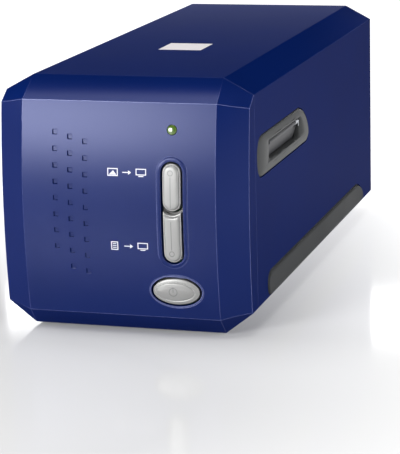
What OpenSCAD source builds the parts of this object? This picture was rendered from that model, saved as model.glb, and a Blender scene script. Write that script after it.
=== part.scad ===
// Desktop film negative scanner: a long octagonal case with a film slot through both
// sides, three front buttons, and a moving optical carriage inside.
// X is across, Y runs from the front panel to the rear, Z is up, and the table is z = 0.

/* [Body] */
// Width across the two flat sides
body_w = 120; // [116:1:130]
// Depth from the front panel to the rear edge
body_d = 272; // [266:1:290]
// Height of the top above the table
body_h = 119; // [115:1:130]
// Wall thickness of the moulded shells
wall = 2.4; // [2:0.1:2.8]
// Height of the rubber feet under the base
foot_h = 1.2; // [1:0.1:2]
// Radius of each rubber foot
foot_r = 7; // [5:0.5:9]
// Width of the chamfer between top and side
top_chamfer_w = 14; // [10:1:18]
// Height of the chamfer between top and side
top_chamfer_h = 7.5; // [5:0.5:10]
// Width of the chamfer between bottom and side
bottom_chamfer_w = 13; // [10:1:15]
// Height of the chamfer between bottom and side
bottom_chamfer_h = 10.1; // [9:0.1:11]
// Gap between pieces that are laid into each other
fit_gap = 0.25; // [0.2:0.05:0.35]

/* [Front panel] */
// Distance from the body's side to the panel's edge
face_side = 13.4; // [11:0.2:16]
// Drop from the body's top to the panel's top edge
face_drop = 9.5; // [7:0.5:12]
// Rise from the body's underside to the panel's bottom edge
face_rise = 8.3; // [6:0.1:9]
// Height above the table at which the panel bulges furthest forward
face_crown = 54; // [50:1:60]
// Radius of the panel's upright curve
face_radius = 268; // [250:2:320]
// Depth from the panel's crown to the seam behind the top bevel
top_bevel = 20.5; // [18:0.5:23]
// Depth from the panel's crown to the outer edges of the side bevels
side_bevel = 8.5; // [7:0.5:10]
// Radius of the side bevels' outer edges
edge_radius = 480; // [400:10:600]
// Depth from the panel's crown to the lower edge of the bottom bevel
bottom_bevel = 11.2; // [9:0.1:13]
// Depth at which the lower corner facets reach the side's bottom edge
corner_depth = 11; // [10:0.5:13]
// Side of each square dimple
dimple_w = 2.2; // [1.6:0.1:2.6]
// Depth of each square dimple
dimple_depth = 0.7; // [0.4:0.1:1.2]
// Distance between two columns of dimples
dimple_step_x = 7.3; // [6.5:0.05:8.5]
// Distance between two dimples in a column
dimple_step_z = 7.6; // [6.8:0.1:7.8]
// Drop from one column's first dimple to the next one's
dimple_stagger = 2; // [1:0.1:3]

/* [Buttons] */
// Distance of the button column from the middle
button_x = 26; // [24:0.2:28]
// Width of the two scan buttons
button_w = 9.2; // [8:0.2:10]
// Height of the upper scan button
upper_button_h = 22.4; // [20:0.2:24]
// Height of the lower scan button
lower_button_h = 22.6; // [20:0.2:24]
// Height of the lower scan button's foot above the table
buttons_z = 36.5; // [33:0.5:37]
// Gap between a button and its neighbours
button_gap = 0.6; // [0.4:0.1:0.8]
// How far the buttons stand proud of the panel
button_proud = 1.8; // [1:0.1:2.4]
// How far each button travels when pressed
button_travel = 1; // [0.6:0.1:1.4]
// Width of the raised rim around the scan buttons
rim_w = 2; // [1.4:0.1:2.4]
// How far the raised rims stand proud of the panel
rim_proud = 0.6; // [0.3:0.1:0.9]
// Width of the oval power button
power_w = 23; // [20:0.2:25]
// Height of the oval power button
power_h = 13.2; // [11:0.2:14]
// Height of the power button's centre above the table
power_z = 22.6; // [21.6:0.2:23.4]
// Drop from the panel's top edge to the status lens
lens_drop = 11.9; // [11.1:0.2:14.5]
// Radius of the status lens
lens_r = 2.2; // [1.8:0.1:2.6]

/* [Film slot] */
// Distance of the slot's centre behind the panel
slot_from_face = 73; // [71:0.5:76]
// Length of the slot bezel
bezel_len = 99; // [97:1:101]
// Height of the slot bezel
bezel_h = 20; // [19.8:0.1:20.4]
// Length of the long slope at the slot bezel's upper rear corner
bezel_slope = 22; // [16:0.5:24]
// How far the bezel's middle stands proud of the side
bezel_proud = 0.7; // [0.3:0.1:1]
// Length of the opening for the film holder
slot_len = 56; // [53:0.5:58]
// Height of the opening's lower lip above the table
lip_z = 76.6; // [76:0.2:77.4]
// Height from the lip to the flap's hinge
lip_to_hinge = 7.9; // [7.5:0.1:8.2]
// Length of the entry flap from its hinge to its free edge
entry_flap_len = 11.8; // [11:0.1:12]
// Inward tilt of the entry flap at rest
entry_flap_tilt = 17.4; // [16:0.2:24]
// Thickness of the flaps
flap_t = 1.2; // [1:0.1:1.4]
// Radius of the flap's hinge knuckle
knuckle_r = 1.3; // [1.25:0.05:1.35]
// Radius of the flap's hinge pin
pin_r = 0.75; // [0.6:0.05:0.8]
// Running clearance around pins, rods and screws
run_gap = 0.08; // [0.05:0.01:0.1]

/* [Side strips] */
// Length of the rubber strip along each side
strip_len = 210; // [200:1:216]
// Height of the rubber strip
strip_h = 12.2; // [11:0.2:13]
// How far the strip stands proud of the side
strip_proud = 0.7; // [0.4:0.1:1]
// Depth of the strip's recess in the side
strip_recess = 0.8; // [0.5:0.1:1]

/* [Carriage] */
// How far the optical carriage travels
travel = 26; // [22:1:28]
// Room beside the carriage on each side, for its rods and screw
carriage_side = 26; // [25:0.5:27]
// Height of the carriage
carriage_h = 44; // [42:1:46]
// Height of the carriage's underside above the table
carriage_z = 18; // [17.6:0.2:18.4]
// Wall thickness of the carriage
carriage_wall = 2.4; // [2:0.2:2.8]
// Distance of each guide rod from the body's side
rod_side = 18; // [17.5:0.1:18.5]
// Height of the guide rods above the table
rod_z = 26; // [25.5:0.1:27]
// Radius of the guide rods
rod_r = 3; // [2.5:0.1:3.2]
// Wall of the brass bushes on the guide rods
bush_wall = 1.5; // [1.2:0.1:1.8]
// Radius of the lens barrel
barrel_r = 11; // [9:0.5:12]

/* [Drive] */
// Distance of the lead screw from the body's side
screw_side = 15; // [14.8:0.1:15.4]
// Height of the lead screw above the table
screw_z = 40; // [39:0.5:41]
// Outer radius of the lead screw
screw_r = 3; // [2.6:0.1:3.2]
// Distance the carriage moves per turn of the lead screw
screw_lead = 6; // [4:1:8]
// Number of thread starts on the lead screw
screw_starts = 3; // [2:1:4]
// Tooth size of the gear pair, as its module
gear_module = 0.4; // [0.38:0.01:0.42]
// Teeth on the lead screw's gear
screw_teeth = 45; // [44:1:46]
// Teeth on the motor's pinion
pinion_teeth = 15; // [14:1:16]
// Play between meshing teeth
gear_play = 0.1; // [0.08:0.01:0.14]
// Radius of the stepper motor
motor_r = 10; // [9:0.5:10.5]
// Length of the stepper motor
motor_len = 15; // [12:1:16]

/* [Electronics] */
// Thickness of the circuit boards
board_t = 1.6; // [1.2:0.1:2]
// Height of the main board above the table
main_board_z = 22; // [20:0.5:24]
// Distance of the main board's edge from the body's side
main_board_side = 10; // [8:0.5:12]
// Depth of the main board
main_board_d = 44; // [40:1:46]
// Distance of the USB socket from the middle
usb_x = -28; // [-36:1:-22]
// Distance of the power socket from the middle
jack_x = 8; // [2:1:20]
// Radius of the power socket's bore
jack_r = 3.1; // [2.7:0.1:3.3]

/* [Hidden] */
$fn = 48;
big = 500;            // larger than the whole body
eps = 0.01;           // overlap that keeps joined solids in one piece

// Places along the body. The buttons' crowns and the rear edge are equally far from y = 0.
hw = body_w / 2;
face_y = (button_proud - body_d) / 2;
rear_y = face_y + body_d;
seam_y = face_y + top_bevel;
land = 0.5;                               // straight rim between the bevels and the seam
split_z = foot_h + bottom_chamfer_h;      // joint between base and housing
face_top = body_h - face_drop;
face_bottom = foot_h + face_rise;
face_facets = 10;                         // the curves are made of this many flat strips
face_rows = [for (i = [0:face_facets]) face_bottom + (face_top - face_bottom) * i / face_facets];
edge_crown = face_crown - 6;              // the bevels' outer edges bulge furthest here
side_in = hw - wall;                      // inner face of the side walls

// Tongue of the front moulding inside the housing
tongue_t = 1.4;
tongue_len = 5;
tongue_notch_w = 12;                      // the slot bezels' flanges pass through a notch in it
tongue_notch_gap = 4;

// Joint between base and housing, and the base's posts
rib_x = hw - 5.1;                         // upright rib along each long edge of the base
rib_t = 1.8;
rib_inset = 8;
rib_down = 3.4;
rib_h = 9.4;
post_foot = foot_h + wall - 0.3;          // posts start just inside the base's wall
screw_post_r = 4;
board_post_r = 3;
board_post_inset = 4;
screw_hole_r = 1.5;
screw_head_r = 2.6;
screw_head_h = 1.2;
screw_shank_r = 1.4;
screw_len = 8;
screw_sunk = 0.2;                         // heads lie this deep in the base
cross_w = 3;                              // cross recess in each screw's head
cross_t = 0.6;

// Rear panel
rear_recess = 1.4;
rear_t = 2.2;
panel_y = rear_y - rear_recess;
socket_gap = 0.3;

// Strips, feet and label
strip_round = 7;                          // length of the rounding at the strip's ends
strip_slope_len = 18;                     // length of the slope at its upper rear corner
strip_lean = 3.4;
strip_shift = 7.5;                         // the strips sit this much behind the middle
strip_slope = 2;                          // height of the strip's sloped lower edge
strip_edge = 1.2;                         // height of its softened upper edge
strip_edge_in = 0.4;
foot_x = hw - 24;
foot_inset = 26;
label_w = 21.9;
label_d = 20.8;
label_t = 0.2;
label_sink = 0.12;
label_x = 0.4;
label_from_slot = 36.1;

// Slot and flaps
slot_y = face_y + slot_from_face;
slot_y0 = slot_y - slot_len / 2;
slot_y1 = slot_y + slot_len / 2;
hinge_z = lip_z + lip_to_hinge;
hinge_in = 1.1;                           // the hinge lies this far inside the side's plane
hinge_x = hw - hinge_in;
slot_top = hinge_z + knuckle_r + 0.3;
bezel_rise = 4.4;                         // from the lip to the middle of the bezel
bezel_z = lip_z + bezel_rise;
bezel_round = 9;                          // length of the rounding at the other corners
round_power = 2.3;                        // how square the slot bezels' and strips' ends are
slope_power = 1.65;
bezel_lean = 5;                           // the rear end reaches furthest this much below the middle
quarter_steps = 10;
bezel_sunk = 0.4;                         // the bezel's outer edge lies below the side's plane
bezel_step = 2;                           // the first step of its pillow, in from the edge
bezel_crown = 4.5;                        // the last one
flange_t = 1.2;                           // flange behind the housing's wall
flange_w = 2;
throat_depth = 7.8;                       // the throat reaches this far inside the wall
throat_x = side_in - throat_depth;
throat_gap = 1;                           // the throat is this much longer than the opening
throat_wall = 1.4;
throat_z0 = hinge_z - entry_flap_len * cos(entry_flap_tilt) - 1.4;
throat_z1 = slot_top + 1.9;
flap_end_gap = 0.4;
flap_step = 0.9;                          // the flap is cut back this far below its knuckle
spring_room = 5;                          // length of pin left free for the spring
exit_flap_len = lip_to_hinge - 0.5;
pin_reach = 2.6;                          // how far each pin enters the bezel
pin_end_gap = 0.1;
pin_seat_gap = 0.05;
wire_r = 0.28;
coil_gap = 0.12;
spring_leg = 2.4;

// Film gate
gate_z = lip_z - 0.2;
gate_t = 2;
gate_x = throat_x - 0.3;
gate_rail = 2.4;
rail_gap = 0.4;
gate_y0 = slot_y0 - rail_gap - gate_rail;
gate_y1 = slot_y1 + rail_gap + gate_rail;
gate_top = slot_top - 0.1;
tab_len = 7;
tab_lap = 0.3;
post_w = 5;
post_x = side_in - 6.4;
post_y0 = gate_y0 - tab_len / 2;
post_y1 = gate_y1 + tab_len / 2;
film_x = 38;
film_y = 26;
window_gap = 2;                           // the cover's window is this much wider all round

// Detent in the gate's floor
detent_x = 30;
detent_y = slot_y0 + 3.4;
detent_r = 2;
detent_up = 1;
detent_cup = 9;
detent_wall = 1.6;
detent_floor = 1;
detent_len = 6;
detent_seat = gate_z - gate_t - detent_cup + detent_floor;
detent_wire = 1.2;                        // radius of the spring under the plunger
detent_turns = 4;

// Light above the gate
cover_t = 2;
light_z = gate_top + cover_t;
light_drop = 6;                           // room between the light and the housing's top
light_top = body_h - wall - light_drop;
light_w = 58;
light_d = 44;
light_wall = 1.6;
light_step = 2;
light_fit = 0.3;
light_board_z = light_top - 6.6;
light_exit_w = 10;                        // opening for the light's cable
diode_r = 1.5;
diode_h = 1.4;
diode_x = 10;
diode_y = 9;
diffuser_t = 2;

// Main board and sockets
main_board_y1 = rear_y - 4.6;
main_board_y0 = main_board_y1 - main_board_d;
main_board_w = body_w - 2 * main_board_side;
socket_z = main_board_z + board_t;
usb_w = 12;
usb_h = 10.8;
usb_d = 16;
jack_w = 9;
jack_h = 11;
jack_d = 14;
jack_drop = 4.5;                          // from the power socket's top to its bore
socket_back = 6;                          // thickness left behind each socket's mouth
mouth_w = 8.6;                            // the USB socket's mouth, and the tongue inside it
mouth_h = 7.8;
mouth_z = 1.4;
tongue_w = 5.8;
tongue_h = 3;
tongue_z = 3.8;
jack_pin_r = 1;
pin_sunk = 0.6;                           // tongue and pin end this deep inside their sockets
chips = [[-30, 8, 18, 18, 2], [2, 10, 12, 12, 1.6], [24, 24, 9, 7, 3]];  // x, y, w, d, h

// Brackets, screw and gears. The chassis fills the length between front board and main board.
bracket_t = 2.5;
gear_t = 4;
gear_gap = 1.5;
motor_gap = 2;
board_room = 3.4;                         // from the motor's plate to the main board
gear_y = main_board_y0 - board_room - bracket_t - motor_gap - gear_t;
rear_bracket_y = gear_y - gear_gap - bracket_t;
bracket_gap = 4;                          // from the carriage to the rear bracket at rest
run_out = 10;                             // from the carriage to the front bracket at full travel

// Carriage, at rest at the rear end of its travel
scan_in = 22;                             // from the carriage's front to its scan line
scan_y = slot_y + travel / 2;
car_y0 = scan_y - scan_in;
car_y1 = rear_bracket_y - bracket_gap;
car_x = hw - carriage_side;
car_top = carriage_z + carriage_h;
car_in = car_x - carriage_wall;
axis_z = carriage_z + carriage_h / 2;     // optical axis along the carriage
lid_t = 1.6;
lid_slit_w = 44;
lid_slit_d = 5;
mirror_t = 3;
mirror_len = 36;
ledge_t = 3;
barrel_y = car_y1 - 70;
barrel_len = 28;
barrel_wall = 3;
glass_t = 4;
glass_lip = 1.2;                          // the barrel is wider by this where it holds a glass
glass_inset = 1;
glass_seat_r = barrel_r - barrel_wall + glass_lip;
glass_places = [barrel_y + glass_inset, barrel_y + barrel_len - glass_inset - glass_t];
cradle_inset = 4;
clamp_inset = 8;
clamp_t = 1;
clamp_ear = 7;
sensor_y = car_y1 - carriage_wall - 6.4;
sensor_board_h = 32;
sensor_w = 40;
sensor_h = 10;
sensor_d = 3.2;
sensor_post_x = 22;
sensor_post_z = 12;
sensor_post_r = 2;
ear_w = 12;
ear_wall = 1.5;
ear_inset = 24;
rod_x = hw - rod_side;
rods = [[-rod_x, rod_z], [rod_x, rod_z]];
bush_r = rod_r + run_gap + bush_wall;
bush_out = 1;
ears = [[1, car_y0 + ear_inset], [1, car_y1 - ear_inset - ear_w],
        [-1, (car_y0 + car_y1 - ear_w) / 2]];
home_x = 4 - car_x;                       // middle of the home sensor and its vane
home_w = 12;
home_d = 6;
home_y = car_y1 - 10;
home_slot = 3.6;
flag_t = 1.2;
flag_inset = 1;
ribbon_w = 20;
ribbon_t = 0.3;
ribbon_z = car_top - 6.5;

// Chassis and drive
screw_x = hw - screw_side;
front_bracket_y = car_y0 - travel - run_out;
floor_z = foot_h + wall + 1;
floor_t = 2;
floor_top = floor_z + floor_t;
floor_x = hw - 13.5;
bracket_x = hw - 7;
rail_z = split_z;                         // side rails stand clear of the base's chamfers
rail_t = 2;
motor_plate_y = gear_y + gear_t + motor_gap;
motor_plate_in = 12;
motor_z = screw_z + gear_module * (screw_teeth + pinion_teeth) / 2;
motor_y = motor_plate_y + bracket_t;
motor_boss_r = 3;
motor_boss_h = 1.2;
shaft_r = 1;
bearing_r = 5;
bearing_flange = 1.2;
bearing_lip = 1.5;
journal_r = 2;
screw_end = motor_plate_y - 0.6;
thread_depth = 0.4;
nut_y = barrel_y + 14;
nut_len = 16;
nut_r = 5;
nut_lip = 1.5;
seat_gap = 0.02;                          // between a pressed-in piece and its hole
hub_r = 4;
pinion_over = 0.3;                        // the pinion is this much wider than its gear

// Front board
stand_off = 12;                           // board's distance behind the panel's outer face
front_board_y = face_y + stand_off;
power_x = button_x + 0.5;
lens_x = button_x;
lens_z = face_top - lens_drop;
lens_gap = 0.2;
lens_proud = 0.5;
lens_flange = 1;
front_board_w = 25;
front_board_x0 = button_x - front_board_w / 2;
front_board_x1 = button_x + front_board_w / 2;
front_board_z0 = 9.8;
front_board_z1 = lens_z + 6.8;
front_post_r = 2.5;
front_post_inset = 3;
front_screw_r = 0.95;
front_screw_head_r = 2;
led_r = 1.5;
led_h = 4;
switch_w = 6;
switch_h = 3.5;
plunger_h = 1;
plunger_r = 1.7;
switch_front = front_board_y - switch_h - plunger_h;
stem_r = 2;
stem_end = switch_front - button_travel - 0.1;
stop_gap = 0.2;                           // the buttons' shoulders rest behind the panel
stop_t = 1;
hole_end = front_board_y - 2;             // the holes for the controls are cut this far back
stop_w = 1.6;
stop_h = 14;
power_stop_h = 6.8;
oval_rim = 0.8;

// Buttons and dimples
lower_top = buttons_z + lower_button_h;
upper_z0 = lower_top + 1.4;
upper_z1 = upper_z0 + upper_button_h;
button_r = button_w / 2;
dimple_x0 = -30.3;
dimple_drop = 2.4;

// Flat cables
cable_x = front_board_x0 + 1;
cable_w = 6;
cable_t = 0.8;
cable_gap = 1;

blue = [0.12, 0.15, 0.38];
grey = [0.34, 0.35, 0.36];
silver = [0.80, 0.81, 0.84];
dark = [0.10, 0.10, 0.11];
board_green = [0.06, 0.30, 0.16];
steel = [0.72, 0.73, 0.75];
brass = [0.80, 0.62, 0.26];
white = [0.93, 0.93, 0.92];

// ---- shared shapes -------------------------------------------------------------------

// Extrudes a drawing of (x, z) from y0 to y1
module along_y(y0, y1) {
    translate([0, y1, 0]) rotate([90, 0, 0]) linear_extrude(y1 - y0) children();
}

// Extrudes a drawing of (y, z) from x0 to x1
module along_x(x0, x1) {
    translate([x0, 0, 0]) rotate([90, 0, 90]) linear_extrude(x1 - x0) children();
}

// A box given by its two corners
module block(p, q) {
    translate(p) cube(q - p);
}

// A rod along Y
module rod_y(x, z, r, y0, y1) {
    translate([x, y0, z]) rotate([-90, 0, 0]) cylinder(r = r, h = y1 - y0);
}

// The half space beyond point p in direction n
module beyond(p, n) {
    translate(p) rotate([0, acos(n[2] / norm(n)), atan2(n[1], n[0])])
        translate([-big / 2, -big / 2, 0]) cube(big);
}

// The body's octagonal section, inset by t
function inset_points(w, h, t) =
    let (len = norm([w, h]), nx = h / len, nz = w / len)
    [w + t * (1 - nz) / nx, (nx * (w - t) + t) / nz];

function shell_outline(t) =
    let (a = inset_points(top_chamfer_w, top_chamfer_h, t),
         b = inset_points(bottom_chamfer_w, bottom_chamfer_h, t))
    [[-hw + a[0], body_h - t], [hw - a[0], body_h - t],
     [hw - t, body_h - a[1]], [hw - t, foot_h + b[1]],
     [hw - b[0], foot_h + t], [-hw + b[0], foot_h + t],
     [-hw + t, foot_h + b[1]], [-hw + t, body_h - a[1]]];

// The octagonal tube between two insets
module shell_ring(t_out, t_in, y0, y1) {
    along_y(y0, y1) difference() {
        polygon(shell_outline(t_out));
        polygon(shell_outline(t_in));
    }
}

// The panel's curve and the outer edges of the side bevels, as depths at a height z
function face_at(z) = face_y + (z - face_crown) * (z - face_crown) / (2 * face_radius);
function edge_at(z) =
    face_y + side_bevel + (z - edge_crown) * (z - edge_crown) / (2 * edge_radius);

// The layer between two copies of the panel's curve, moved back by t0 and t1
module face_layer(t0, t1) {
    along_x(-hw, hw) polygon(concat([for (z = face_rows) [face_at(z) + t0, z]],
        [for (i = [face_facets:-1:0]) [face_at(face_rows[i]) + t1, face_rows[i]]]));
}

// The bulging, bevelled nose, with every face moved inward by t
module nose(t, y_end) {
    x = hw - face_side;
    corner = [x, face_at(face_top), face_top];
    low = [x, face_at(face_bottom), face_bottom];
    n_top = [0, -face_drop, seam_y - land - corner[1]];
    n_bottom = [0, -face_rise, low[1] - face_y - bottom_bevel];
    n_high = cross([hw, seam_y - land, body_h - top_chamfer_h] - corner,
                   [hw - top_chamfer_w, seam_y - land, body_h] - corner);
    n_low = cross([hw - bottom_chamfer_w, face_y + bottom_bevel, foot_h] - low,
                  [hw, face_y + corner_depth, split_z] - low);
    difference() {
        along_y(face_y + t, y_end) polygon(shell_outline(t));
        face_layer(-top_bevel, t);
        beyond([0, corner[1], corner[2]] - t * n_top / norm(n_top), n_top);
        beyond([0, low[1], low[2]] - t * n_bottom / norm(n_bottom), n_bottom);
        for (m = [0, 1]) mirror([m, 0, 0]) {
            beyond(corner - t * n_high / norm(n_high), n_high);
            beyond(low - t * n_low / norm(n_low), n_low);
            for (i = [0:face_facets - 1]) side_facet(x, face_rows[i], face_rows[i + 1], t);
        }
    }
}

// The half space beyond one flat strip of a side bevel
module side_facet(x, z0, z1, t) {
    p = [x, face_at(z0), z0];
    n = cross([hw, edge_at((z0 + z1) / 2), (z0 + z1) / 2] - p, [x, face_at(z1), z1] - p);
    beyond(p - t * n / norm(n), n);
}

// A bar with round ends, w wide, from z0 to z1 about x = 0
module stadium(w, z0, z1) {
    translate([-w / 2, z0 + w / 2]) square([w, z1 - z0 - w]);
    translate([0, z0 + w / 2]) circle(d = w);
    translate([0, z1 - w / 2]) circle(d = w);
}

// A quarter of a squared oval about c, w wide and h high, from its level to its upright end
function quarter(c, w, h, power) = [for (i = [0:quarter_steps])
    let (a = 90 * i / quarter_steps) c + [w * pow(cos(a), 2 / power), h * pow(sin(a), 2 / power)]];
function reversed(p) = [for (i = [len(p) - 1:-1:0]) p[i]];

// A bar with a rounded front end and a slanted rear end, whose lowest part reaches furthest back.
// The slope is as long as given, and the rear end reaches furthest lean below the middle.
module slanted_bar(y, z, len, h, round_len, slope, lean, grow) {
    front = [round_len - len / 2, 0];
    rear = [len / 2 - slope, -lean];
    heel = [len / 2 - round_len, -lean];
    up = h / 2 + grow;
    w = round_len + grow;
    translate([y, z]) polygon(concat(
        quarter(rear, slope + grow, up + lean, slope_power),
        reversed(quarter(front, -w, up, round_power)),
        quarter(front, -w, -up, round_power),
        reversed(quarter(heel, w, lean - up, round_power))));
}

module oval(w, h) {
    polygon([for (i = [0:47]) [w / 2 * cos(i * 7.5), h / 2 * sin(i * 7.5)]]);
}

// A flat strip that follows a route of (y, z) points, x0 to x1 wide
function strip_side(p, t) = [for (i = [0:len(p) - 1])
    let (a = p[max(i - 1, 0)], b = p[i], c = p[min(i + 1, len(p) - 1)],
         u = (i == 0 ? c - b : b - a), v = (i == len(p) - 1 ? b - a : c - b),
         m = [-u[1], u[0]] / norm(u) + [-v[1], v[0]] / norm(v))
    b + t * m / (norm(m) * norm(m) / 2)];

module flat_strip(route, t, x0, x1) {
    back = strip_side(route, -t / 2);
    along_x(x0, x1) polygon(concat(strip_side(route, t / 2),
        [for (i = [len(back) - 1:-1:0]) back[i]]));
}

// Close coils around an axis along Y, from y0 to y1
module coils_y(x, z, r, y0, y1) {
    n = round((y1 - y0) / (2 * wire_r));
    step = (y1 - y0) / n;
    translate([x, y0, z]) rotate([-90, 0, 0]) rotate_extrude() union() {
        for (i = [0:n - 1]) translate([r, step * (i + 0.5)]) circle(r = wire_r, $fn = 16);
        translate([r - wire_r / 2, wire_r]) square([wire_r, y1 - y0 - 2 * wire_r]);
    }
}

// ---- casing --------------------------------------------------------------------------

module slot_outline(grow) {
    slanted_bar(slot_y, bezel_z, bezel_len, bezel_h, bezel_round, bezel_slope, bezel_lean, grow);
}

module strip_outline(grow) {
    slanted_bar((face_y + rear_y) / 2 + strip_shift, split_z + strip_h / 2, strip_len, strip_h,
                strip_round, strip_slope_len, strip_lean, grow);
}

module main_housing() {
    color(blue) difference() {
        shell_ring(0, wall, seam_y, rear_y);
        block([-big, -big, -1], [big, big, split_z]);
        for (s = [0, 1]) mirror([s, 0, 0]) {
            along_x(side_in - 1, hw + 1) slot_outline(0);
            along_x(hw - strip_recess, hw + 1) strip_outline(fit_gap);
        }
        label_form(body_h - label_sink, 1, fit_gap);
    }
}

module base_plate() {
    color(blue) difference() {
        union() {
            difference() {
                shell_ring(0, wall, seam_y, rear_y);
                block([-big, -big, split_z], [big, big, big]);
            }
            for (s = [-1, 1])
                block([s * rib_x - rib_t / 2, seam_y + rib_inset, split_z - rib_down],
                      [s * rib_x + rib_t / 2, rear_y - rib_inset, split_z - rib_down + rib_h]);
            for (p = case_screw_places())
                translate([p[0], p[1], post_foot])
                    cylinder(r = screw_post_r, h = floor_z - post_foot);
            for (p = board_post_places())
                translate([p[0], p[1], post_foot])
                    cylinder(r = board_post_r, h = main_board_z - post_foot);
        }
        for (p = case_screw_places()) translate([p[0], p[1], 0]) {
            cylinder(r = screw_hole_r, h = floor_z + 1);
            cylinder(r = screw_head_r + fit_gap, h = foot_h + screw_head_h + screw_sunk);
        }
    }
}

function case_screw_places() = [for (x = [-1, 1], y = [seam_y + 14, rear_bracket_y - 12])
    [x * (floor_x - 5), y]];
function board_post_places() =
    [for (x = [-1, 1], y = [main_board_y0 + board_post_inset, main_board_y1 - board_post_inset])
        [x * (main_board_w / 2 - board_post_inset), y]];

module case_screws() {
    color(steel) for (p = case_screw_places()) translate([p[0], p[1], foot_h + screw_sunk])
        difference() {
            union() {
                cylinder(r = screw_head_r, h = screw_head_h);
                cylinder(r = screw_shank_r, h = screw_len);
            }
            for (a = [0, 90]) rotate([0, 0, a])
                cube([cross_w, cross_t, screw_head_h], center = true);
        }
}

module buttons_hole(grow) {
    translate([button_x, 0])
        stadium(button_w + 2 * (button_gap + grow), buttons_z - button_gap - grow,
                upper_z1 + button_gap + grow);
}

module power_oval(grow) {
    translate([power_x, power_z]) oval(power_w + 2 * grow, power_h + 2 * grow);
}

module dimples() {
    for (c = [0:2], r = [0:(c == 0 ? 7 : 8)])
        let (z = lens_z - dimple_drop - c * dimple_stagger - r * dimple_step_z)
            translate([dimple_x0 + c * dimple_step_x, face_at(z), z])
                cube([dimple_w, 2 * dimple_depth, dimple_w], center = true);
}

function front_post_places() =
    [for (x = [front_board_x0 + front_post_inset, front_board_x1 - front_post_inset],
          z = [front_board_z0 + front_post_inset, front_board_z1 - front_post_inset]) [x, z]];

module front_bezel() {
    color(blue) difference() {
        union() {
            difference() {
                nose(0, seam_y);
                nose(wall, seam_y + 1);
            }
            shell_ring(wall / 2, wall + fit_gap + tongue_t, seam_y - 2, seam_y);
            shell_ring(wall + fit_gap, wall + fit_gap + tongue_t, seam_y - 1, seam_y + tongue_len);
            for (p = front_post_places())
                rod_y(p[0], p[1], front_post_r, face_at(p[1]) + wall / 2, front_board_y);
            intersection() {
                along_y(face_y - 2, hole_end) buttons_hole(rim_w);
                face_layer(-rim_proud, wall / 2);
            }
            intersection() {
                along_y(face_y - 2, hole_end) power_oval(button_gap + oval_rim);
                face_layer(-rim_proud / 2, wall / 2);
            }
        }
        along_y(face_y - 2, hole_end) buttons_hole(0);
        along_y(face_y - 2, hole_end) power_oval(button_gap);
        rod_y(lens_x, lens_z, lens_r + lens_gap, face_y - 2, hole_end);
        for (p = front_post_places())
            rod_y(p[0], p[1], front_screw_r + pin_seat_gap, front_board_y - 6, front_board_y + 1);
        for (s = [0, 1]) mirror([s, 0, 0])
            block([hw - tongue_notch_w, seam_y + fit_gap, bezel_z - bezel_h / 2 - tongue_notch_gap],
                  [hw, seam_y + tongue_len + 1, bezel_z + bezel_h / 2 + tongue_notch_gap]);
        dimples();
    }
}

module rear_panel() {
    color(blue) difference() {
        along_y(panel_y - rear_t, panel_y) polygon(shell_outline(wall + fit_gap));
        for (c = [[usb_x, usb_w, usb_h], [jack_x, jack_w, jack_h]])
            block([c[0] - c[1] / 2 - socket_gap, panel_y - 2 * rear_t, socket_z - socket_gap],
                  [c[0] + c[1] / 2 + socket_gap, panel_y + 1, socket_z + c[2] + socket_gap]);
    }
}

module side_strip() {
    color(grey) intersection() {
        along_y(-big / 2, big / 2) polygon([
            [hw - strip_recess, split_z], [hw, split_z],
            [hw + strip_proud, split_z + strip_slope],
            [hw + strip_proud, split_z + strip_h - strip_edge],
            [hw + strip_proud - strip_edge_in, split_z + strip_h],
            [hw - strip_recess, split_z + strip_h]]);
        along_x(0, big) strip_outline(0);
    }
}

module side_strip_right() { side_strip(); }
module side_strip_left() { mirror([1, 0, 0]) side_strip(); }

module rubber_feet() {
    color(dark) for (x = [-foot_x, foot_x], y = [seam_y + foot_inset, rear_y - foot_inset])
        translate([x, y, 0]) cylinder(r = foot_r, h = foot_h);
}

module label_form(z, t, grow) {
    translate([label_x, slot_y + label_from_slot, z + t / 2])
        cube([label_w + 2 * grow, label_d + 2 * grow, t], center = true);
}

module top_label() {
    color(white) label_form(body_h - label_sink, label_t, 0);
}

// ---- film slot -----------------------------------------------------------------------

module slot_bezel() {
    throat_y0 = slot_y0 - throat_gap;
    throat_y1 = slot_y1 + throat_gap;
    color(grey) difference() {
        union() {
            along_x(side_in, hw - bezel_sunk) slot_outline(-fit_gap);
            along_x(side_in, hw + bezel_proud / 2) slot_outline(-bezel_step);
            along_x(side_in, hw + bezel_proud) slot_outline(-bezel_crown);
            along_x(side_in - flange_t, side_in) slot_outline(flange_w);
            block([throat_x, throat_y0 - throat_wall, throat_z0 - throat_wall],
                  [side_in, throat_y1 + throat_wall, throat_z1 + throat_wall]);
        }
        block([side_in - eps, slot_y0, lip_z], [hw + 5, slot_y1, slot_top]);
        block([throat_x - 1, throat_y0, throat_z0], [side_in, throat_y1, throat_z1]);
        rod_y(hinge_x, hinge_z, pin_r + pin_seat_gap, slot_y0 - pin_reach, slot_y1 + pin_reach);
    }
}

module slot_bezel_right() { slot_bezel(); }
module slot_bezel_left() { mirror([1, 0, 0]) slot_bezel(); }

// A flap that hangs from its knuckle at the hinge, tilted inward
module flap(length, tilt) {
    y0 = slot_y0 + flap_end_gap;
    y1 = slot_y1 - flap_end_gap;
    color(grey) difference() {
        union() {
            rod_y(hinge_x, hinge_z, knuckle_r, y0, y1 - spring_room);
            translate([hinge_x, y0, hinge_z]) rotate([0, tilt, 0]) difference() {
                translate([-flap_t / 2, 0, -length]) cube([flap_t, y1 - y0, length]);
                translate([-flap_t, y1 - y0 - spring_room, -knuckle_r - flap_step])
                    cube([2 * flap_t, 2 * spring_room, length]);
            }
        }
        rod_y(hinge_x, hinge_z, pin_r + run_gap, y0 - 1, y1 + 1);
    }
}

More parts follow.
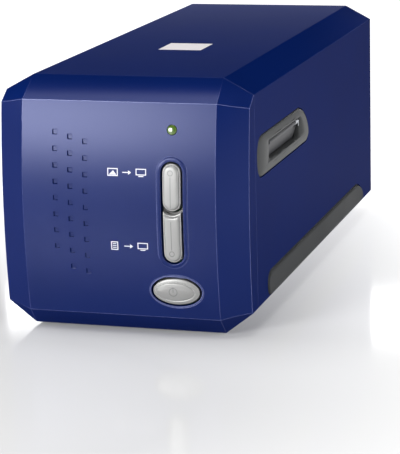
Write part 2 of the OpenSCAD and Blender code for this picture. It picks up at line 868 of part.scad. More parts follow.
module entry_flap() { flap(entry_flap_len, entry_flap_tilt); }
module exit_flap() { mirror([1, 0, 0]) flap(exit_flap_len, 0); }

module flap_pin() {
    color(steel) rod_y(hinge_x, hinge_z, pin_r,
                       slot_y0 - pin_reach + pin_end_gap, slot_y1 + pin_reach - pin_end_gap);
}

module entry_flap_pin() { flap_pin(); }
module exit_flap_pin() { mirror([1, 0, 0]) flap_pin(); }

// A torsion spring on the pin, with one leg in the opening's rear corner, outside (1) or inside (-1)
module flap_spring(leg_side) {
    coil_r = pin_r + wire_r + coil_gap;
    y1 = slot_y1 - pin_end_gap;
    color(steel) {
        coils_y(hinge_x, hinge_z, coil_r, slot_y1 - spring_room - pin_end_gap, y1);
        translate([hinge_x + leg_side * coil_r, y1 - wire_r, hinge_z - spring_leg])
            cylinder(r = wire_r, h = spring_leg, $fn = 16);
    }
}

module entry_flap_spring() { flap_spring(1); }
module exit_flap_spring() { mirror([1, 0, 0]) flap_spring(-1); }

module film_gate() {
    color(dark) difference() {
        union() {
            block([-gate_x, gate_y0, gate_z - gate_t], [gate_x, gate_y1, gate_z]);
            for (y = [gate_y0, gate_y1 - gate_rail])
                block([-gate_x, y, gate_z - eps], [gate_x, y + gate_rail, gate_top]);
            for (s = [-1, 1], y = [post_y0, post_y1])
                block([s * post_x - post_w, y - tab_len / 2 - tab_lap, gate_z - gate_t],
                      [s * post_x + post_w / 2 + (s < 0 ? post_w / 2 : 0),
                       y + tab_len / 2 + tab_lap, gate_z]);
            translate([detent_x, detent_y, gate_z - gate_t - detent_cup])
                cylinder(r = detent_r + detent_wall, h = detent_cup + eps);
        }
        over_slot(film_x, film_y, gate_z - gate_t - 1, gate_z + 1);
        translate([detent_x, detent_y, detent_seat])
            cylinder(r = detent_r + run_gap, h = detent_cup + gate_t + 1);
    }
}

module detent_plunger() {
    color(brass) translate([detent_x, detent_y, gate_z + detent_up - detent_len])
        difference() {
            union() {
                cylinder(r = detent_r, h = detent_len - detent_r / 2);
                translate([0, 0, detent_len - detent_r]) sphere(r = detent_r);
            }
            translate([0, 0, detent_len]) cylinder(r = 2 * detent_r, h = detent_len);
        }
}

module detent_spring() {
    pitch = (gate_z + detent_up - detent_len - detent_seat) / detent_turns;
    color(steel) translate([detent_x, detent_y, detent_seat]) rotate_extrude() union() {
        for (i = [0:detent_turns - 1]) translate([detent_wire, (i + 0.5) * pitch])
            circle(r = pitch / 2, $fn = 16);
        translate([detent_wire - pitch / 4, pitch / 2])
            square([pitch / 2, (detent_turns - 1) * pitch]);
    }
}

module gate_cover() {
    color(dark) difference() {
        block([-gate_x, gate_y0, gate_top], [gate_x, gate_y1, gate_top + cover_t]);
        over_slot(film_x + 2 * window_gap, film_y + 2 * window_gap,
                  gate_top - 1, gate_top + cover_t + 1);
    }
}

// ---- light ---------------------------------------------------------------------------

// A box centred over the slot, w by d, from z0 to z1
module over_slot(w, d, z0, z1) {
    block([-w / 2, slot_y - d / 2, z0], [w / 2, slot_y + d / 2, z1]);
}

module light_housing() {
    w = light_w - 2 * light_wall;
    d = light_d - 2 * light_wall;
    color(dark) difference() {
        over_slot(light_w, light_d, light_z, light_top);
        over_slot(w, d, light_board_z, light_top - light_wall);
        over_slot(w - 2 * light_step, d - 2 * light_step, light_z - 1, light_board_z + 1);
        block([-light_exit_w / 2, slot_y, light_board_z + board_t - cable_t / 2],
              [light_exit_w / 2, slot_y + light_d, light_board_z + board_t + 2 * cable_t]);
    }
}

module light_board() {
    color(board_green)
        over_slot(light_w - 2 * (light_wall + light_fit), light_d - 2 * (light_wall + light_fit),
                  light_board_z, light_board_z + board_t);
}

module light_diodes() {
    color(white) for (i = [-1.5:1.5], j = [-1:1])
        translate([i * diode_x, slot_y + j * diode_y, light_board_z - diode_h])
            cylinder(r = diode_r, h = diode_h);
}

module diffuser() {
    edge = light_wall + light_step + light_fit;
    color(white) over_slot(light_w - 2 * edge, light_d - 2 * edge, light_z, light_z + diffuser_t);
}

// ---- chassis and drive ---------------------------------------------------------------

module chassis() {
    color(steel) difference() {
        union() {
            block([-floor_x, front_bracket_y - 2, floor_z],
                  [floor_x, motor_y, floor_top]);
            for (y = [front_bracket_y, rear_bracket_y]) {
                block([-floor_x, y, floor_top - eps], [floor_x, y + bracket_t, rail_z + eps]);
                block([-bracket_x, y, rail_z],
                      [bracket_x, y + bracket_t, screw_z + bearing_r + 4]);
            }
            for (s = [0, 1]) mirror([s, 0, 0]) {
                block([floor_x - rail_t, front_bracket_y, floor_top - eps],
                      [floor_x, rear_bracket_y + eps, rail_z + eps]);
                block([floor_x - rail_t, front_bracket_y, rail_z],
                      [post_x + post_w / 2, rear_bracket_y + eps, rail_z + rail_t]);
            }
            block([screw_x - motor_plate_in, motor_plate_y, floor_top - eps],
                  [floor_x, motor_y, rail_z + eps]);
            block([screw_x - motor_plate_in, motor_plate_y, rail_z],
                  [bracket_x, motor_y, motor_z + motor_r + 1]);
            for (s = [-1, 1], y = [post_y0, post_y1])
                block([s * post_x - post_w / 2, y - post_w / 2, rail_z + eps],
                      [s * post_x + post_w / 2, y + post_w / 2, gate_z - gate_t]);
        }
        for (r = rods)
            rod_y(r[0], r[1], rod_r + seat_gap, front_bracket_y - 1, rear_bracket_y + 4);
        for (y = [front_bracket_y, rear_bracket_y])
            rod_y(screw_x, screw_z, bearing_r + seat_gap, y - 1, y + bracket_t + 1);
        rod_y(screw_x, motor_z, motor_boss_r + fit_gap, motor_plate_y - 1, motor_y + 1);
        for (p = case_screw_places())
            translate([p[0], p[1], floor_z - 1]) cylinder(r = screw_hole_r, h = floor_t + 2);
        block([cable_x - cable_gap, front_bracket_y - 1, floor_top],
              [cable_x + cable_w + cable_gap, rear_bracket_y + 4, floor_top + 3 * cable_gap]);
    }
}

module guide_rods() {
    color(steel) for (r = rods)
        rod_y(r[0], r[1], rod_r, front_bracket_y, rear_bracket_y + bracket_t);
}

module lead_screw() {
    pitch = screw_lead / screw_starts;
    y0 = nut_y - travel - 14;
    turns = floor((nut_len + travel + 24) / pitch);
    root_r = screw_r - thread_depth;
    color(steel) union() {
        rod_y(screw_x, screw_z, journal_r, front_bracket_y + 0.2, screw_end);
        rod_y(screw_x, screw_z, root_r, front_bracket_y + bracket_t + bearing_flange + 0.4,
              rear_bracket_y - bearing_flange - 0.4);
        translate([screw_x, y0, screw_z]) rotate([-90, 0, 0]) rotate_extrude()
            polygon(concat([[0, 0]], [for (i = [0:turns - 1]) each [
                [root_r, i * pitch], [screw_r, (i + 0.3) * pitch],
                [screw_r, (i + 0.6) * pitch], [root_r, (i + 0.9) * pitch]]],
                [[root_r, turns * pitch], [0, turns * pitch]]));
    }
}

// Outline of a spur gear with involute flanks
function involute(rb, r) = let (p = acos(rb / r)) tan(p) * 180 / PI - p;
function gear_points(teeth, m) =
    let (rp = m * teeth / 2, rb = rp * cos(20), ra = rp + 0.85 * m, rf = rp - 1.15 * m,
         r0 = max(rb, rf), half = (PI * m / 2 - gear_play) / 2 / rp * 180 / PI,
         flank = [for (k = [0:3]) let (r = r0 + (ra - r0) * k / 3)
                  [r, half + involute(rb, rp) - involute(rb, r)]])
    [for (i = [0:teeth - 1]) let (c = 90 + i * 360 / teeth)
        each concat([[rf, c - flank[0][1]]], [for (k = [0:3]) [flank[k][0], c - flank[k][1]]],
                    [for (k = [3:-1:0]) [flank[k][0], c + flank[k][1]]],
                    [[rf, c + flank[0][1]]])];

module gear_outline(teeth) {
    polygon([for (p = gear_points(teeth, gear_module)) [p[0] * cos(p[1]), p[0] * sin(p[1])]]);
}

module screw_gear() {
    color(white) difference() {
        union() {
            along_y(gear_y, gear_y + gear_t) translate([screw_x, screw_z])
                gear_outline(screw_teeth);
            rod_y(screw_x, screw_z, hub_r, gear_y - 1, gear_y + gear_t);
        }
        rod_y(screw_x, screw_z, journal_r + seat_gap, gear_y - 2, gear_y + gear_t + 1);
    }
}

module screw_bearings() {
    color(brass) for (m = [0, 1]) {
        inner = m == 0 ? front_bracket_y + bracket_t : rear_bracket_y;
        outer = m == 0 ? front_bracket_y : rear_bracket_y + bracket_t;
        step = m == 0 ? 1 : -1;
        difference() {
            union() {
                rod_y(screw_x, screw_z, bearing_r, min(inner, outer), max(inner, outer));
                rod_y(screw_x, screw_z, bearing_r + bearing_lip,
                      min(inner, inner + step * bearing_flange),
                      max(inner, inner + step * bearing_flange));
            }
            rod_y(screw_x, screw_z, journal_r + run_gap, front_bracket_y - 1, screw_end);
        }
    }
}

module stepper_motor() {
    color(steel) difference() {
        union() {
            rod_y(screw_x, motor_z, motor_r, motor_y, motor_y + motor_len);
            rod_y(screw_x, motor_z, motor_boss_r, motor_y - motor_boss_h, motor_y + 1);
        }
        rod_y(screw_x, motor_z, shaft_r + run_gap, motor_y - 3, motor_y + motor_len / 2);
    }
}

module motor_pinion() {
    color(brass) union() {
        along_y(gear_y - pinion_over, gear_y + gear_t + pinion_over) translate([screw_x, motor_z])
            rotate(180 / pinion_teeth * ((pinion_teeth + 1) % 2)) gear_outline(pinion_teeth);
        rod_y(screw_x, motor_z, shaft_r, gear_y, motor_y + motor_len / 2 - 1);
    }
}

module home_sensor() {
    color(dark) difference() {
        block([home_x - home_w / 2, home_y, floor_top],
              [home_x + home_w / 2, home_y + home_d, carriage_z - 1.5]);
        block([home_x - home_slot / 2, home_y - 1, floor_top + 3],
              [home_x + home_slot / 2, home_y + home_d + 1, carriage_z]);
    }
}

// ---- optical carriage ----------------------------------------------------------------

// A square ear on the carriage's side that carries a bush, side -1 or 1
module ear(side, y, x, z, r) {
    x0 = side * (car_x - eps);
    x1 = side * (x + r + ear_wall);
    block([min(x0, x1), y, z - r - ear_wall], [max(x0, x1), y + ear_w, z + r + ear_wall]);
}

module scan_carriage() {
    color(dark) difference() {
        union() {
            difference() {
                block([-car_x, car_y0, carriage_z], [car_x, car_y1, car_top]);
                block([-car_in, car_y0 + carriage_wall, carriage_z + carriage_wall],
                      [car_in, car_y1 - carriage_wall, car_top + 1]);
            }
            for (e = ears) ear(e[0], e[1], rod_x, rod_z, bush_r);
            ear(1, nut_y + nut_len - ear_w - 2, screw_x, screw_z, nut_r - 0.5);
            for (s = [-1, 1]) mirror_ledge(s);
            block([-car_in - eps, barrel_y + cradle_inset, carriage_z + 1],
                  [car_in + eps, barrel_y + barrel_len - cradle_inset, axis_z]);
            block([home_x - flag_t / 2, home_y + flag_inset, floor_top + 4],
                  [home_x + flag_t / 2, home_y + home_d - flag_inset, carriage_z + 1]);
            for (x = [-1, 1], z = [-1, 1])
                rod_y(x * sensor_post_x, axis_z + z * sensor_post_z, sensor_post_r,
                      sensor_y + board_t, car_y1 - carriage_wall + eps);
        }
        for (e = ears)
            rod_y(e[0] * rod_x, rod_z, bush_r + seat_gap, e[1] - bush_out, e[1] + ear_w + bush_out);
        rod_y(screw_x, screw_z, nut_r + seat_gap, nut_y, nut_y + nut_len);
        rod_y(0, axis_z, barrel_r + pin_seat_gap, barrel_y, barrel_y + barrel_len);
        block([-ribbon_w / 2 - 2, car_y1 - carriage_wall - 1, ribbon_z - 1.5],
              [ribbon_w / 2 + 2, car_y1 + 1, ribbon_z + 1.5]);
    }
}

// A sloped ledge on a side wall under the mirror's end
module mirror_ledge(side) {
    run = mirror_len / 2 * cos(45);
    x0 = side > 0 ? car_in - ledge_t : -car_in;
    along_x(x0 - (side < 0 ? eps : 0), x0 + ledge_t + (side > 0 ? eps : 0)) polygon([
        [scan_y - run, carriage_z + 1], [scan_y + run, carriage_z + 1],
        [scan_y + run, axis_z - run], [scan_y - run, axis_z + run]]);
}

module fold_mirror() {
    color([0.7, 0.78, 0.85]) translate([0, scan_y, axis_z]) rotate([-45, 0, 0])
        translate([-car_in + light_fit, -mirror_len / 2, 0])
            cube([2 * (car_in - light_fit), mirror_len, mirror_t]);
}

module carriage_lid() {
    color(dark) difference() {
        block([-car_x, car_y0, car_top], [car_x, car_y1, car_top + lid_t]);
        block([-lid_slit_w / 2, scan_y - lid_slit_d / 2, car_top - 1],
              [lid_slit_w / 2, scan_y + lid_slit_d / 2, car_top + lid_t + 1]);
    }
}

module rod_bushes() {
    color(brass) for (e = ears) difference() {
        rod_y(e[0] * rod_x, rod_z, bush_r, e[1] - bush_out, e[1] + ear_w + bush_out);
        rod_y(e[0] * rod_x, rod_z, rod_r + run_gap, e[1] - ear_w, e[1] + 2 * ear_w);
    }
}

module drive_nut() {
    color(brass) difference() {
        union() {
            rod_y(screw_x, screw_z, nut_r, nut_y, nut_y + nut_len);
            rod_y(screw_x, screw_z, nut_r + nut_lip, nut_y, nut_y + 2);
        }
        rod_y(screw_x, screw_z, screw_r + run_gap, nut_y - 1, nut_y + nut_len + 1);
    }
}

module lens_barrel() {
    color(dark) difference() {
        rod_y(0, axis_z, barrel_r, barrel_y, barrel_y + barrel_len);
        rod_y(0, axis_z, barrel_r - barrel_wall, barrel_y - 1, barrel_y + barrel_len + 1);
        rod_y(0, axis_z, glass_seat_r, barrel_y - 1, glass_places[0] + glass_t);
        rod_y(0, axis_z, glass_seat_r, glass_places[1], barrel_y + barrel_len + 1);
    }
}

module lens_elements() {
    color([0.8, 0.88, 0.92]) for (y = glass_places)
        rod_y(0, axis_z, glass_seat_r - pin_seat_gap, y, y + glass_t);
}

module lens_clamp() {
    y0 = barrel_y + clamp_inset;
    y1 = barrel_y + barrel_len - clamp_inset;
    color(steel) difference() {
        union() {
            rod_y(0, axis_z, barrel_r + clamp_t, y0, y1);
            block([-barrel_r - clamp_ear, y0, axis_z],
                  [barrel_r + clamp_ear, y1, axis_z + clamp_t]);
        }
        rod_y(0, axis_z, barrel_r + pin_seat_gap, y0 - 1, y1 + 1);
        block([-big / 2, y0 - 1, 0], [big / 2, y1 + 1, axis_z]);
    }
}

module sensor_board() {
    w = 2 * (car_in - board_post_inset);
    color(board_green) block([-w / 2, sensor_y, axis_z - sensor_board_h / 2],
                             [w / 2, sensor_y + board_t, axis_z + sensor_board_h / 2]);
}

module line_sensor() {
    color(dark) block([-sensor_w / 2, sensor_y - sensor_d, axis_z - sensor_h / 2],
                      [sensor_w / 2, sensor_y, axis_z + sensor_h / 2]);
}

// ---- front controls ------------------------------------------------------------------

// The hidden part of a button: a shoulder behind the panel, w by h, and its stem
function stop_at(z, h) = max(face_at(z - h / 2), face_at(z + h / 2)) + wall + stop_gap;

module button_back(x, z, w, h) {
    y = stop_at(z, h);
    block([x - w / 2, y, z - h / 2], [x + w / 2, y + stop_t, z + h / 2]);
    rod_y(x, z, stem_r, y, stem_end);
}

// The part of a button that passes through the panel, with a crown that follows its curve
module button_body(y_end) {
    intersection() {
        along_y(face_y - 2 * button_proud, y_end) children();
        face_layer(-button_proud, stand_off);
    }
}

module upper_scan_button() {
    z = (upper_z0 + upper_z1) / 2;
    color(silver) {
        button_body(stop_at(z, stop_h) + eps)
            translate([button_x, 0]) stadium(button_w, upper_z0, upper_z1);
        button_back(button_x, z, button_w + 2 * stop_w, stop_h);
    }
}

module lower_scan_button() {
    z = (buttons_z + lower_top) / 2;
    color(silver) {
        button_body(stop_at(z, stop_h) + eps) translate([button_x, 0]) difference() {
            union() {
                translate([0, buttons_z + button_r]) circle(r = button_r);
                translate([-button_r, buttons_z + button_r])
                    square([button_w, upper_z0 - buttons_z - button_r / 2]);
            }
            translate([0, upper_z0 + button_r]) circle(r = button_r + button_gap);
        }
        button_back(button_x, z, button_w + 2 * stop_w, stop_h);
    }
}

module power_button() {
    color(silver) {
        button_body(stop_at(power_z, power_stop_h) + eps) power_oval(0);
        button_back(power_x, power_z, power_w + 2 * stop_w, power_stop_h);
    }
}

module status_lens() {
    flange_y = stop_at(lens_z, 2 * (lens_r + lens_flange)) - stop_gap / 2;
    color([0.6, 0.95, 0.2]) {
        rod_y(lens_x, lens_z, lens_r, face_at(lens_z) - lens_proud,
              front_board_y - led_h - fit_gap);
        rod_y(lens_x, lens_z, lens_r + lens_flange, flange_y, flange_y + lens_flange);
    }
}

module front_board() {
    color(board_green) difference() {
        block([front_board_x0, front_board_y, front_board_z0],
              [front_board_x1, front_board_y + board_t, front_board_z1]);
        for (p = front_post_places())
            rod_y(p[0], p[1], front_screw_r + fit_gap / 2, front_board_y - 1,
                  front_board_y + board_t + 1);
    }
}

module tact_switches() {
    color(dark) for (p = [[button_x, (upper_z0 + upper_z1) / 2],
                          [button_x, (buttons_z + lower_top) / 2], [power_x, power_z]]) {
        block([p[0] - switch_w / 2, front_board_y - switch_h, p[1] - switch_w / 2],
              [p[0] + switch_w / 2, front_board_y, p[1] + switch_w / 2]);
        rod_y(p[0], p[1], plunger_r, switch_front, front_board_y - switch_h + eps);
    }
}

module status_led() {
    color(white) rod_y(lens_x, lens_z, led_r, front_board_y - led_h, front_board_y);
}

module front_board_screws() {
    color(steel) for (p = front_post_places()) {
        rod_y(p[0], p[1], front_screw_r, front_board_y - 5, front_board_y + board_t + eps);
        rod_y(p[0], p[1], front_screw_head_r, front_board_y + board_t,
              front_board_y + board_t + screw_head_h);
    }
}

// ---- electronics ---------------------------------------------------------------------

module main_board() {
    color(board_green) block([-main_board_w / 2, main_board_y0, main_board_z],
                             [main_board_w / 2, main_board_y1, main_board_z + board_t]);
}

module board_chips() {
    color(dark) for (c = chips)
        translate([c[0], main_board_y0 + c[1], socket_z]) cube([c[2], c[3], c[4]]);
}

module usb_socket() {
    color(steel) difference() {
        block([usb_x - usb_w / 2, panel_y - usb_d, socket_z],
              [usb_x + usb_w / 2, panel_y, socket_z + usb_h]);
        difference() {
            block([usb_x - mouth_w / 2, panel_y - usb_d + socket_back, socket_z + mouth_z],
                  [usb_x + mouth_w / 2, panel_y + 1, socket_z + mouth_z + mouth_h]);
            block([usb_x - tongue_w / 2, panel_y - usb_d, socket_z + tongue_z],
                  [usb_x + tongue_w / 2, panel_y - pin_sunk, socket_z + tongue_z + tongue_h]);
        }
    }
}

module power_socket() {
    z = socket_z + jack_h - jack_drop;
    color(dark) difference() {
        block([jack_x - jack_w / 2, panel_y - jack_d, socket_z],
              [jack_x + jack_w / 2, panel_y, socket_z + jack_h]);
        difference() {
            rod_y(jack_x, z, jack_r, panel_y - jack_d + socket_back, panel_y + 1);
            rod_y(jack_x, z, jack_pin_r, panel_y - jack_d, panel_y - pin_sunk);
        }
    }
}

// Cables held along their whole route, as routes of (y, z) points
module sensor_ribbon() {
    color(white) flat_strip([
        [sensor_y + board_t + 0.1, ribbon_z], [car_y1 + 8, ribbon_z],
        [car_y1 + 12, ribbon_z + 4.5], [main_board_y0 + 1, ribbon_z + 4.5],
        [main_board_y0 + 5, ribbon_z + 0.5], [main_board_y0 + 5, socket_z]],
        ribbon_t, -ribbon_w / 2, ribbon_w / 2);
}

module front_cable() {
    low = floor_top + 0.6;
    color(dark) flat_strip([
        [front_board_y + board_t, front_board_z0 + 12], [seam_y + 2, front_board_z0 + 12],
        [seam_y + 4, front_board_z0 + 10], [seam_y + 4, low + 2], [seam_y + 6, low],
        [motor_y + 2, low], [motor_y + 5, low + 3], [motor_y + 5, main_board_z - 3],
        [motor_y + 5, main_board_z]], cable_t, cable_x, cable_x + cable_w);
}

module light_cable() {
    color(dark) flat_strip([
        [slot_y + light_d / 2 - light_wall - 2, light_board_z + board_t + 0.5],
        [slot_y + light_d / 2 + 4, light_board_z + board_t + 0.5],
        [main_board_y0 + 14, light_board_z + board_t + 0.5],
        [main_board_y0 + 18, light_board_z + board_t - 4],
        [main_board_y0 + 18, socket_z]], cable_t, -2, 2);
}

module motor_cable() {
    color(dark) flat_strip([
        [motor_y + motor_len, motor_z - 4], [motor_y + motor_len + 4, motor_z - 4],
        [motor_y + motor_len + 6, motor_z - 6], [motor_y + motor_len + 6, socket_z]],
        cable_t, screw_x - 3, screw_x + 3);
}

main_housing();
base_plate();
front_bezel();
rear_panel();
side_strip_right();
side_strip_left();
rubber_feet();
top_label();
slot_bezel_right();
slot_bezel_left();
entry_flap();
exit_flap();
entry_flap_pin();
exit_flap_pin();
entry_flap_spring();
exit_flap_spring();
upper_scan_button();
lower_scan_button();
power_button();
status_lens();
front_board();
tact_switches();
status_led();
front_board_screws();
chassis();
film_gate();
gate_cover();
detent_plunger();
detent_spring();
light_housing();
light_board();
light_diodes();
diffuser();
guide_rods();
scan_carriage();
carriage_lid();
rod_bushes();
fold_mirror();
lens_barrel();
lens_elements();
lens_clamp();
sensor_board();
line_sensor();
drive_nut();
lead_screw();
screw_gear();
screw_bearings();
stepper_motor();
motor_pinion();
home_sensor();
main_board();
board_chips();
usb_socket();
power_socket();
sensor_ribbon();
front_cable();
light_cable();
motor_cable();
case_screws();
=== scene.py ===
import math

import bmesh
import bpy
from mathutils import Matrix, Vector
from mathutils.geometry import tessellate_polygon


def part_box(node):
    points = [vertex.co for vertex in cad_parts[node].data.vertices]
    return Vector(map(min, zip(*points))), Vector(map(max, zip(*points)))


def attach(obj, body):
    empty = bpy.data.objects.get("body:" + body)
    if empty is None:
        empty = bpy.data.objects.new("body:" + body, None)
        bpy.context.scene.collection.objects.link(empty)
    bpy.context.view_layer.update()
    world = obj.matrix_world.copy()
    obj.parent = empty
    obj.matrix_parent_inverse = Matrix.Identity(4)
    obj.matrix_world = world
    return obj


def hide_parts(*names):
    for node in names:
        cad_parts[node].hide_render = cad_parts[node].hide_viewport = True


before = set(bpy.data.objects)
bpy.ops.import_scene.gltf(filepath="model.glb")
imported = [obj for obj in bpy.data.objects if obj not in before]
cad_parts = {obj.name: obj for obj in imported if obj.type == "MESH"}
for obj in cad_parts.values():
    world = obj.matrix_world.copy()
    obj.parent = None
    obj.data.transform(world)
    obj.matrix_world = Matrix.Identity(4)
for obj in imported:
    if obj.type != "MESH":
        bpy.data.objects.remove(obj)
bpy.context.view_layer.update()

# ---- camera ---------------------------------------------------------------------------
# A long lens in front of the scanner's right corner, a little above its top, so that the
# nose, the right side and the top are in view.
camera_place = Vector((0.29125, -0.94959, 0.26336))
camera_right = (0.95683, 0.28943, -0.02643)
camera_up = (-0.04446, 0.23565, 0.97082)
camera_back = (0.28722, -0.92774, 0.23834)
camera_data = bpy.data.cameras.new("camera")
camera_data.lens = 154.15
camera_data.sensor_width = 36
camera_data.clip_start = 0.05
camera = bpy.data.objects.new("camera", camera_data)
bpy.context.scene.collection.objects.link(camera)
turn = Matrix((camera_right, camera_up, camera_back)).transposed()
camera.matrix_world = Matrix.Translation(camera_place) @ turn.to_4x4()
bpy.context.scene.camera = camera
bpy.context.scene.view_settings.view_transform = "Standard"

# ---- floor and light ------------------------------------------------------------------
# A sheet of white acrylic to stand on, which the camera sees whiter than its light makes
# it, and soft boxes round it in a dark room: a low one at the front left is the main one.


def node(tree, kind, place=(0, 0), **settings):
    """A new shader node, with its settings and unlinked input values."""
    made = tree.nodes.new("ShaderNode" + kind)
    made.location = place
    for name, value in settings.items():
        if hasattr(made, name):
            setattr(made, name, value)
        else:
            made.inputs[name.replace("_", " ")].default_value = value
    return made


def feed(tree, socket, value):
    """Gives an input a link from an output, or a fixed value."""
    if isinstance(value, bpy.types.NodeSocket):
        tree.links.new(value, socket)
    else:
        socket.default_value = value


def link(tree, *pairs):
    """Links each pair of an output and an input."""
    for output, socket in pairs:
        tree.links.new(output, socket)


def math_of(tree, operation, *values):
    """The output of a Math node over values, each an output or a number."""
    made = node(tree, "Math", (-1200, -400), operation=operation)
    for socket, value in zip(made.inputs, values):
        feed(tree, socket, value)
    return made.outputs[0]


def plain_material(name):
    """A new material with its Principled shader, and the tree that holds it."""
    material = bpy.data.materials.new(name)
    material.use_nodes = True
    return material, material.node_tree, material.node_tree.nodes["Principled BSDF"]


def two_tones(tree, first, second, scale, detail=2.0):
    """A cloudy pattern and the colour that it makes between two colours."""
    cloud = node(tree, "TexNoise", (-600, 0), Scale=scale, Detail=detail)
    tone = node(tree, "ValToRGB", (-400, 0))
    tone.color_ramp.elements[0].color = (*first, 1)
    tone.color_ramp.elements[1].color = (*second, 1)
    link(tree, (cloud.outputs["Fac"], tone.inputs["Fac"]))
    return cloud.outputs["Fac"], tone.outputs["Color"]


floor_half = 20.0
floor_mesh = bpy.data.meshes.new("floor")
floor_mesh.from_pydata(
    [(-floor_half, -floor_half, 0), (floor_half, -floor_half, 0),
     (floor_half, floor_half, 0), (-floor_half, floor_half, 0)], [], [(0, 1, 2, 3)])
floor = bpy.data.objects.new("floor", floor_mesh)
bpy.context.scene.collection.objects.link(floor)
acrylic, tree, shader = plain_material("white_acrylic")
acrylic_tone = two_tones(tree, (0.60, 0.60, 0.60), (0.64, 0.64, 0.64), scale=2.0)[1]
shader.inputs["Roughness"].default_value = 0.09
shader.inputs["Specular IOR Level"].default_value = 0.12
white_middle = (-0.03, -0.24, 0)
white_from = 0.09
white_to = 0.48
where = node(tree, "NewGeometry", (-1200, -400))
off = node(tree, "VectorMath", (-1000, -400), operation="SUBTRACT")
off.inputs[1].default_value = white_middle
flat_way = node(tree, "VectorMath", (-800, -400), operation="LENGTH")
whiten = node(tree, "MapRange", (-600, -400), From_Min=white_from, From_Max=white_to)
path = node(tree, "LightPath", (-1400, -700))
seen = math_of(tree, "MAXIMUM", path.outputs["Is Camera Ray"], path.outputs["Is Glossy Ray"])
seen = math_of(tree, "MAXIMUM", seen, path.outputs["Is Transmission Ray"])
lit = node(tree, "Emission", (0, -500))
both = node(tree, "AddShader", (200, -200))
link(tree,
     (acrylic_tone, shader.inputs["Base Color"]),
     (where.outputs["Position"], off.inputs[0]),
     (off.outputs[0], flat_way.inputs[0]),
     (flat_way.outputs["Value"], whiten.inputs["Value"]),
     (math_of(tree, "MULTIPLY", whiten.outputs["Result"], seen), lit.inputs["Strength"]),
     (shader.outputs["BSDF"], both.inputs[0]),
     (lit.outputs["Emission"], both.inputs[1]),
     (both.outputs["Shader"], tree.nodes["Material Output"].inputs["Surface"]))
floor_mesh.materials.append(acrylic)

world = bpy.data.worlds.new("room")
world.use_nodes = True
bpy.context.scene.world = world
tree = world.node_tree
coords = node(tree, "TexCoord", (-800, 0))
split = node(tree, "SeparateXYZ", (-600, 0))
ramp = node(tree, "ValToRGB", (-400, 0))
ramp.color_ramp.elements[0].position = 0.10
ramp.color_ramp.elements[0].color = (0.10, 0.10, 0.11, 1)
ramp.color_ramp.elements[1].position = 0.22
ramp.color_ramp.elements[1].color = (0.03, 0.03, 0.035, 1)
link(tree,
     (coords.outputs["Generated"], split.inputs["Vector"]),
     (split.outputs["Z"], ramp.inputs["Fac"]),
     (ramp.outputs["Color"], tree.nodes["Background"].inputs["Color"]))


def soft_box(name, place, target, width, height, power):
    """A rectangular lamp that faces the target."""
    data = bpy.data.lights.new(name, "AREA")
    data.shape = "RECTANGLE"
    data.size = width
    data.size_y = height
    data.energy = power
    lamp = bpy.data.objects.new(name, data)
    bpy.context.scene.collection.objects.link(lamp)
    lamp.location = place
    lamp.rotation_mode = "QUATERNION"
    lamp.rotation_quaternion = (Vector(target) - Vector(place)).to_track_quat("-Z", "Y")
    lamp.visible_camera = False


soft_box("low_box", (-0.29, -0.72, 0.20), (0, -0.12, 0.08), 0.28, 0.20, 4.8)
soft_box("overhead_box", (-0.10, -0.10, 1.20), (0, 0, 0), 1.1, 0.60, 10.5)
soft_box("right_box", (1.00, -0.50, 0.42), (0.05, 0, 0.05), 0.6, 0.6, 5.2)
soft_box("side_box", (0.85, -0.12, 0.20), (0.05, -0.05, 0.05), 0.4, 0.30, 2.4)
soft_box("left_box", (-0.90, -0.15, 0.40), (0, 0, 0.05), 0.5, 0.5, 3.6)
soft_box("rear_box", (-0.06, 0.36, 0.135), (-0.03, 0.10, 0.12), 0.40, 0.03, 0.30)

# ---- front moulding -------------------------------------------------------------------
# The bulging nose that carries the controls: navy satin plastic, injection moulded with
# a fine spark-eroded grain. Its tongue is pushed into the housing and base from the front.


def group_of(name, inputs, outputs):
    """A new shader node group with named sockets, given as (name, kind, value)."""
    made = bpy.data.node_groups.new(name, "ShaderNodeTree")
    for socket, kind, value in inputs:
        new = made.interface.new_socket(socket, in_out="INPUT", socket_type="NodeSocket" + kind)
        new.default_value = value
    for socket, kind in outputs:
        made.interface.new_socket(socket, in_out="OUTPUT", socket_type="NodeSocket" + kind)
    start = made.nodes.new("NodeGroupInput")
    end = made.nodes.new("NodeGroupOutput")
    return made, start, end


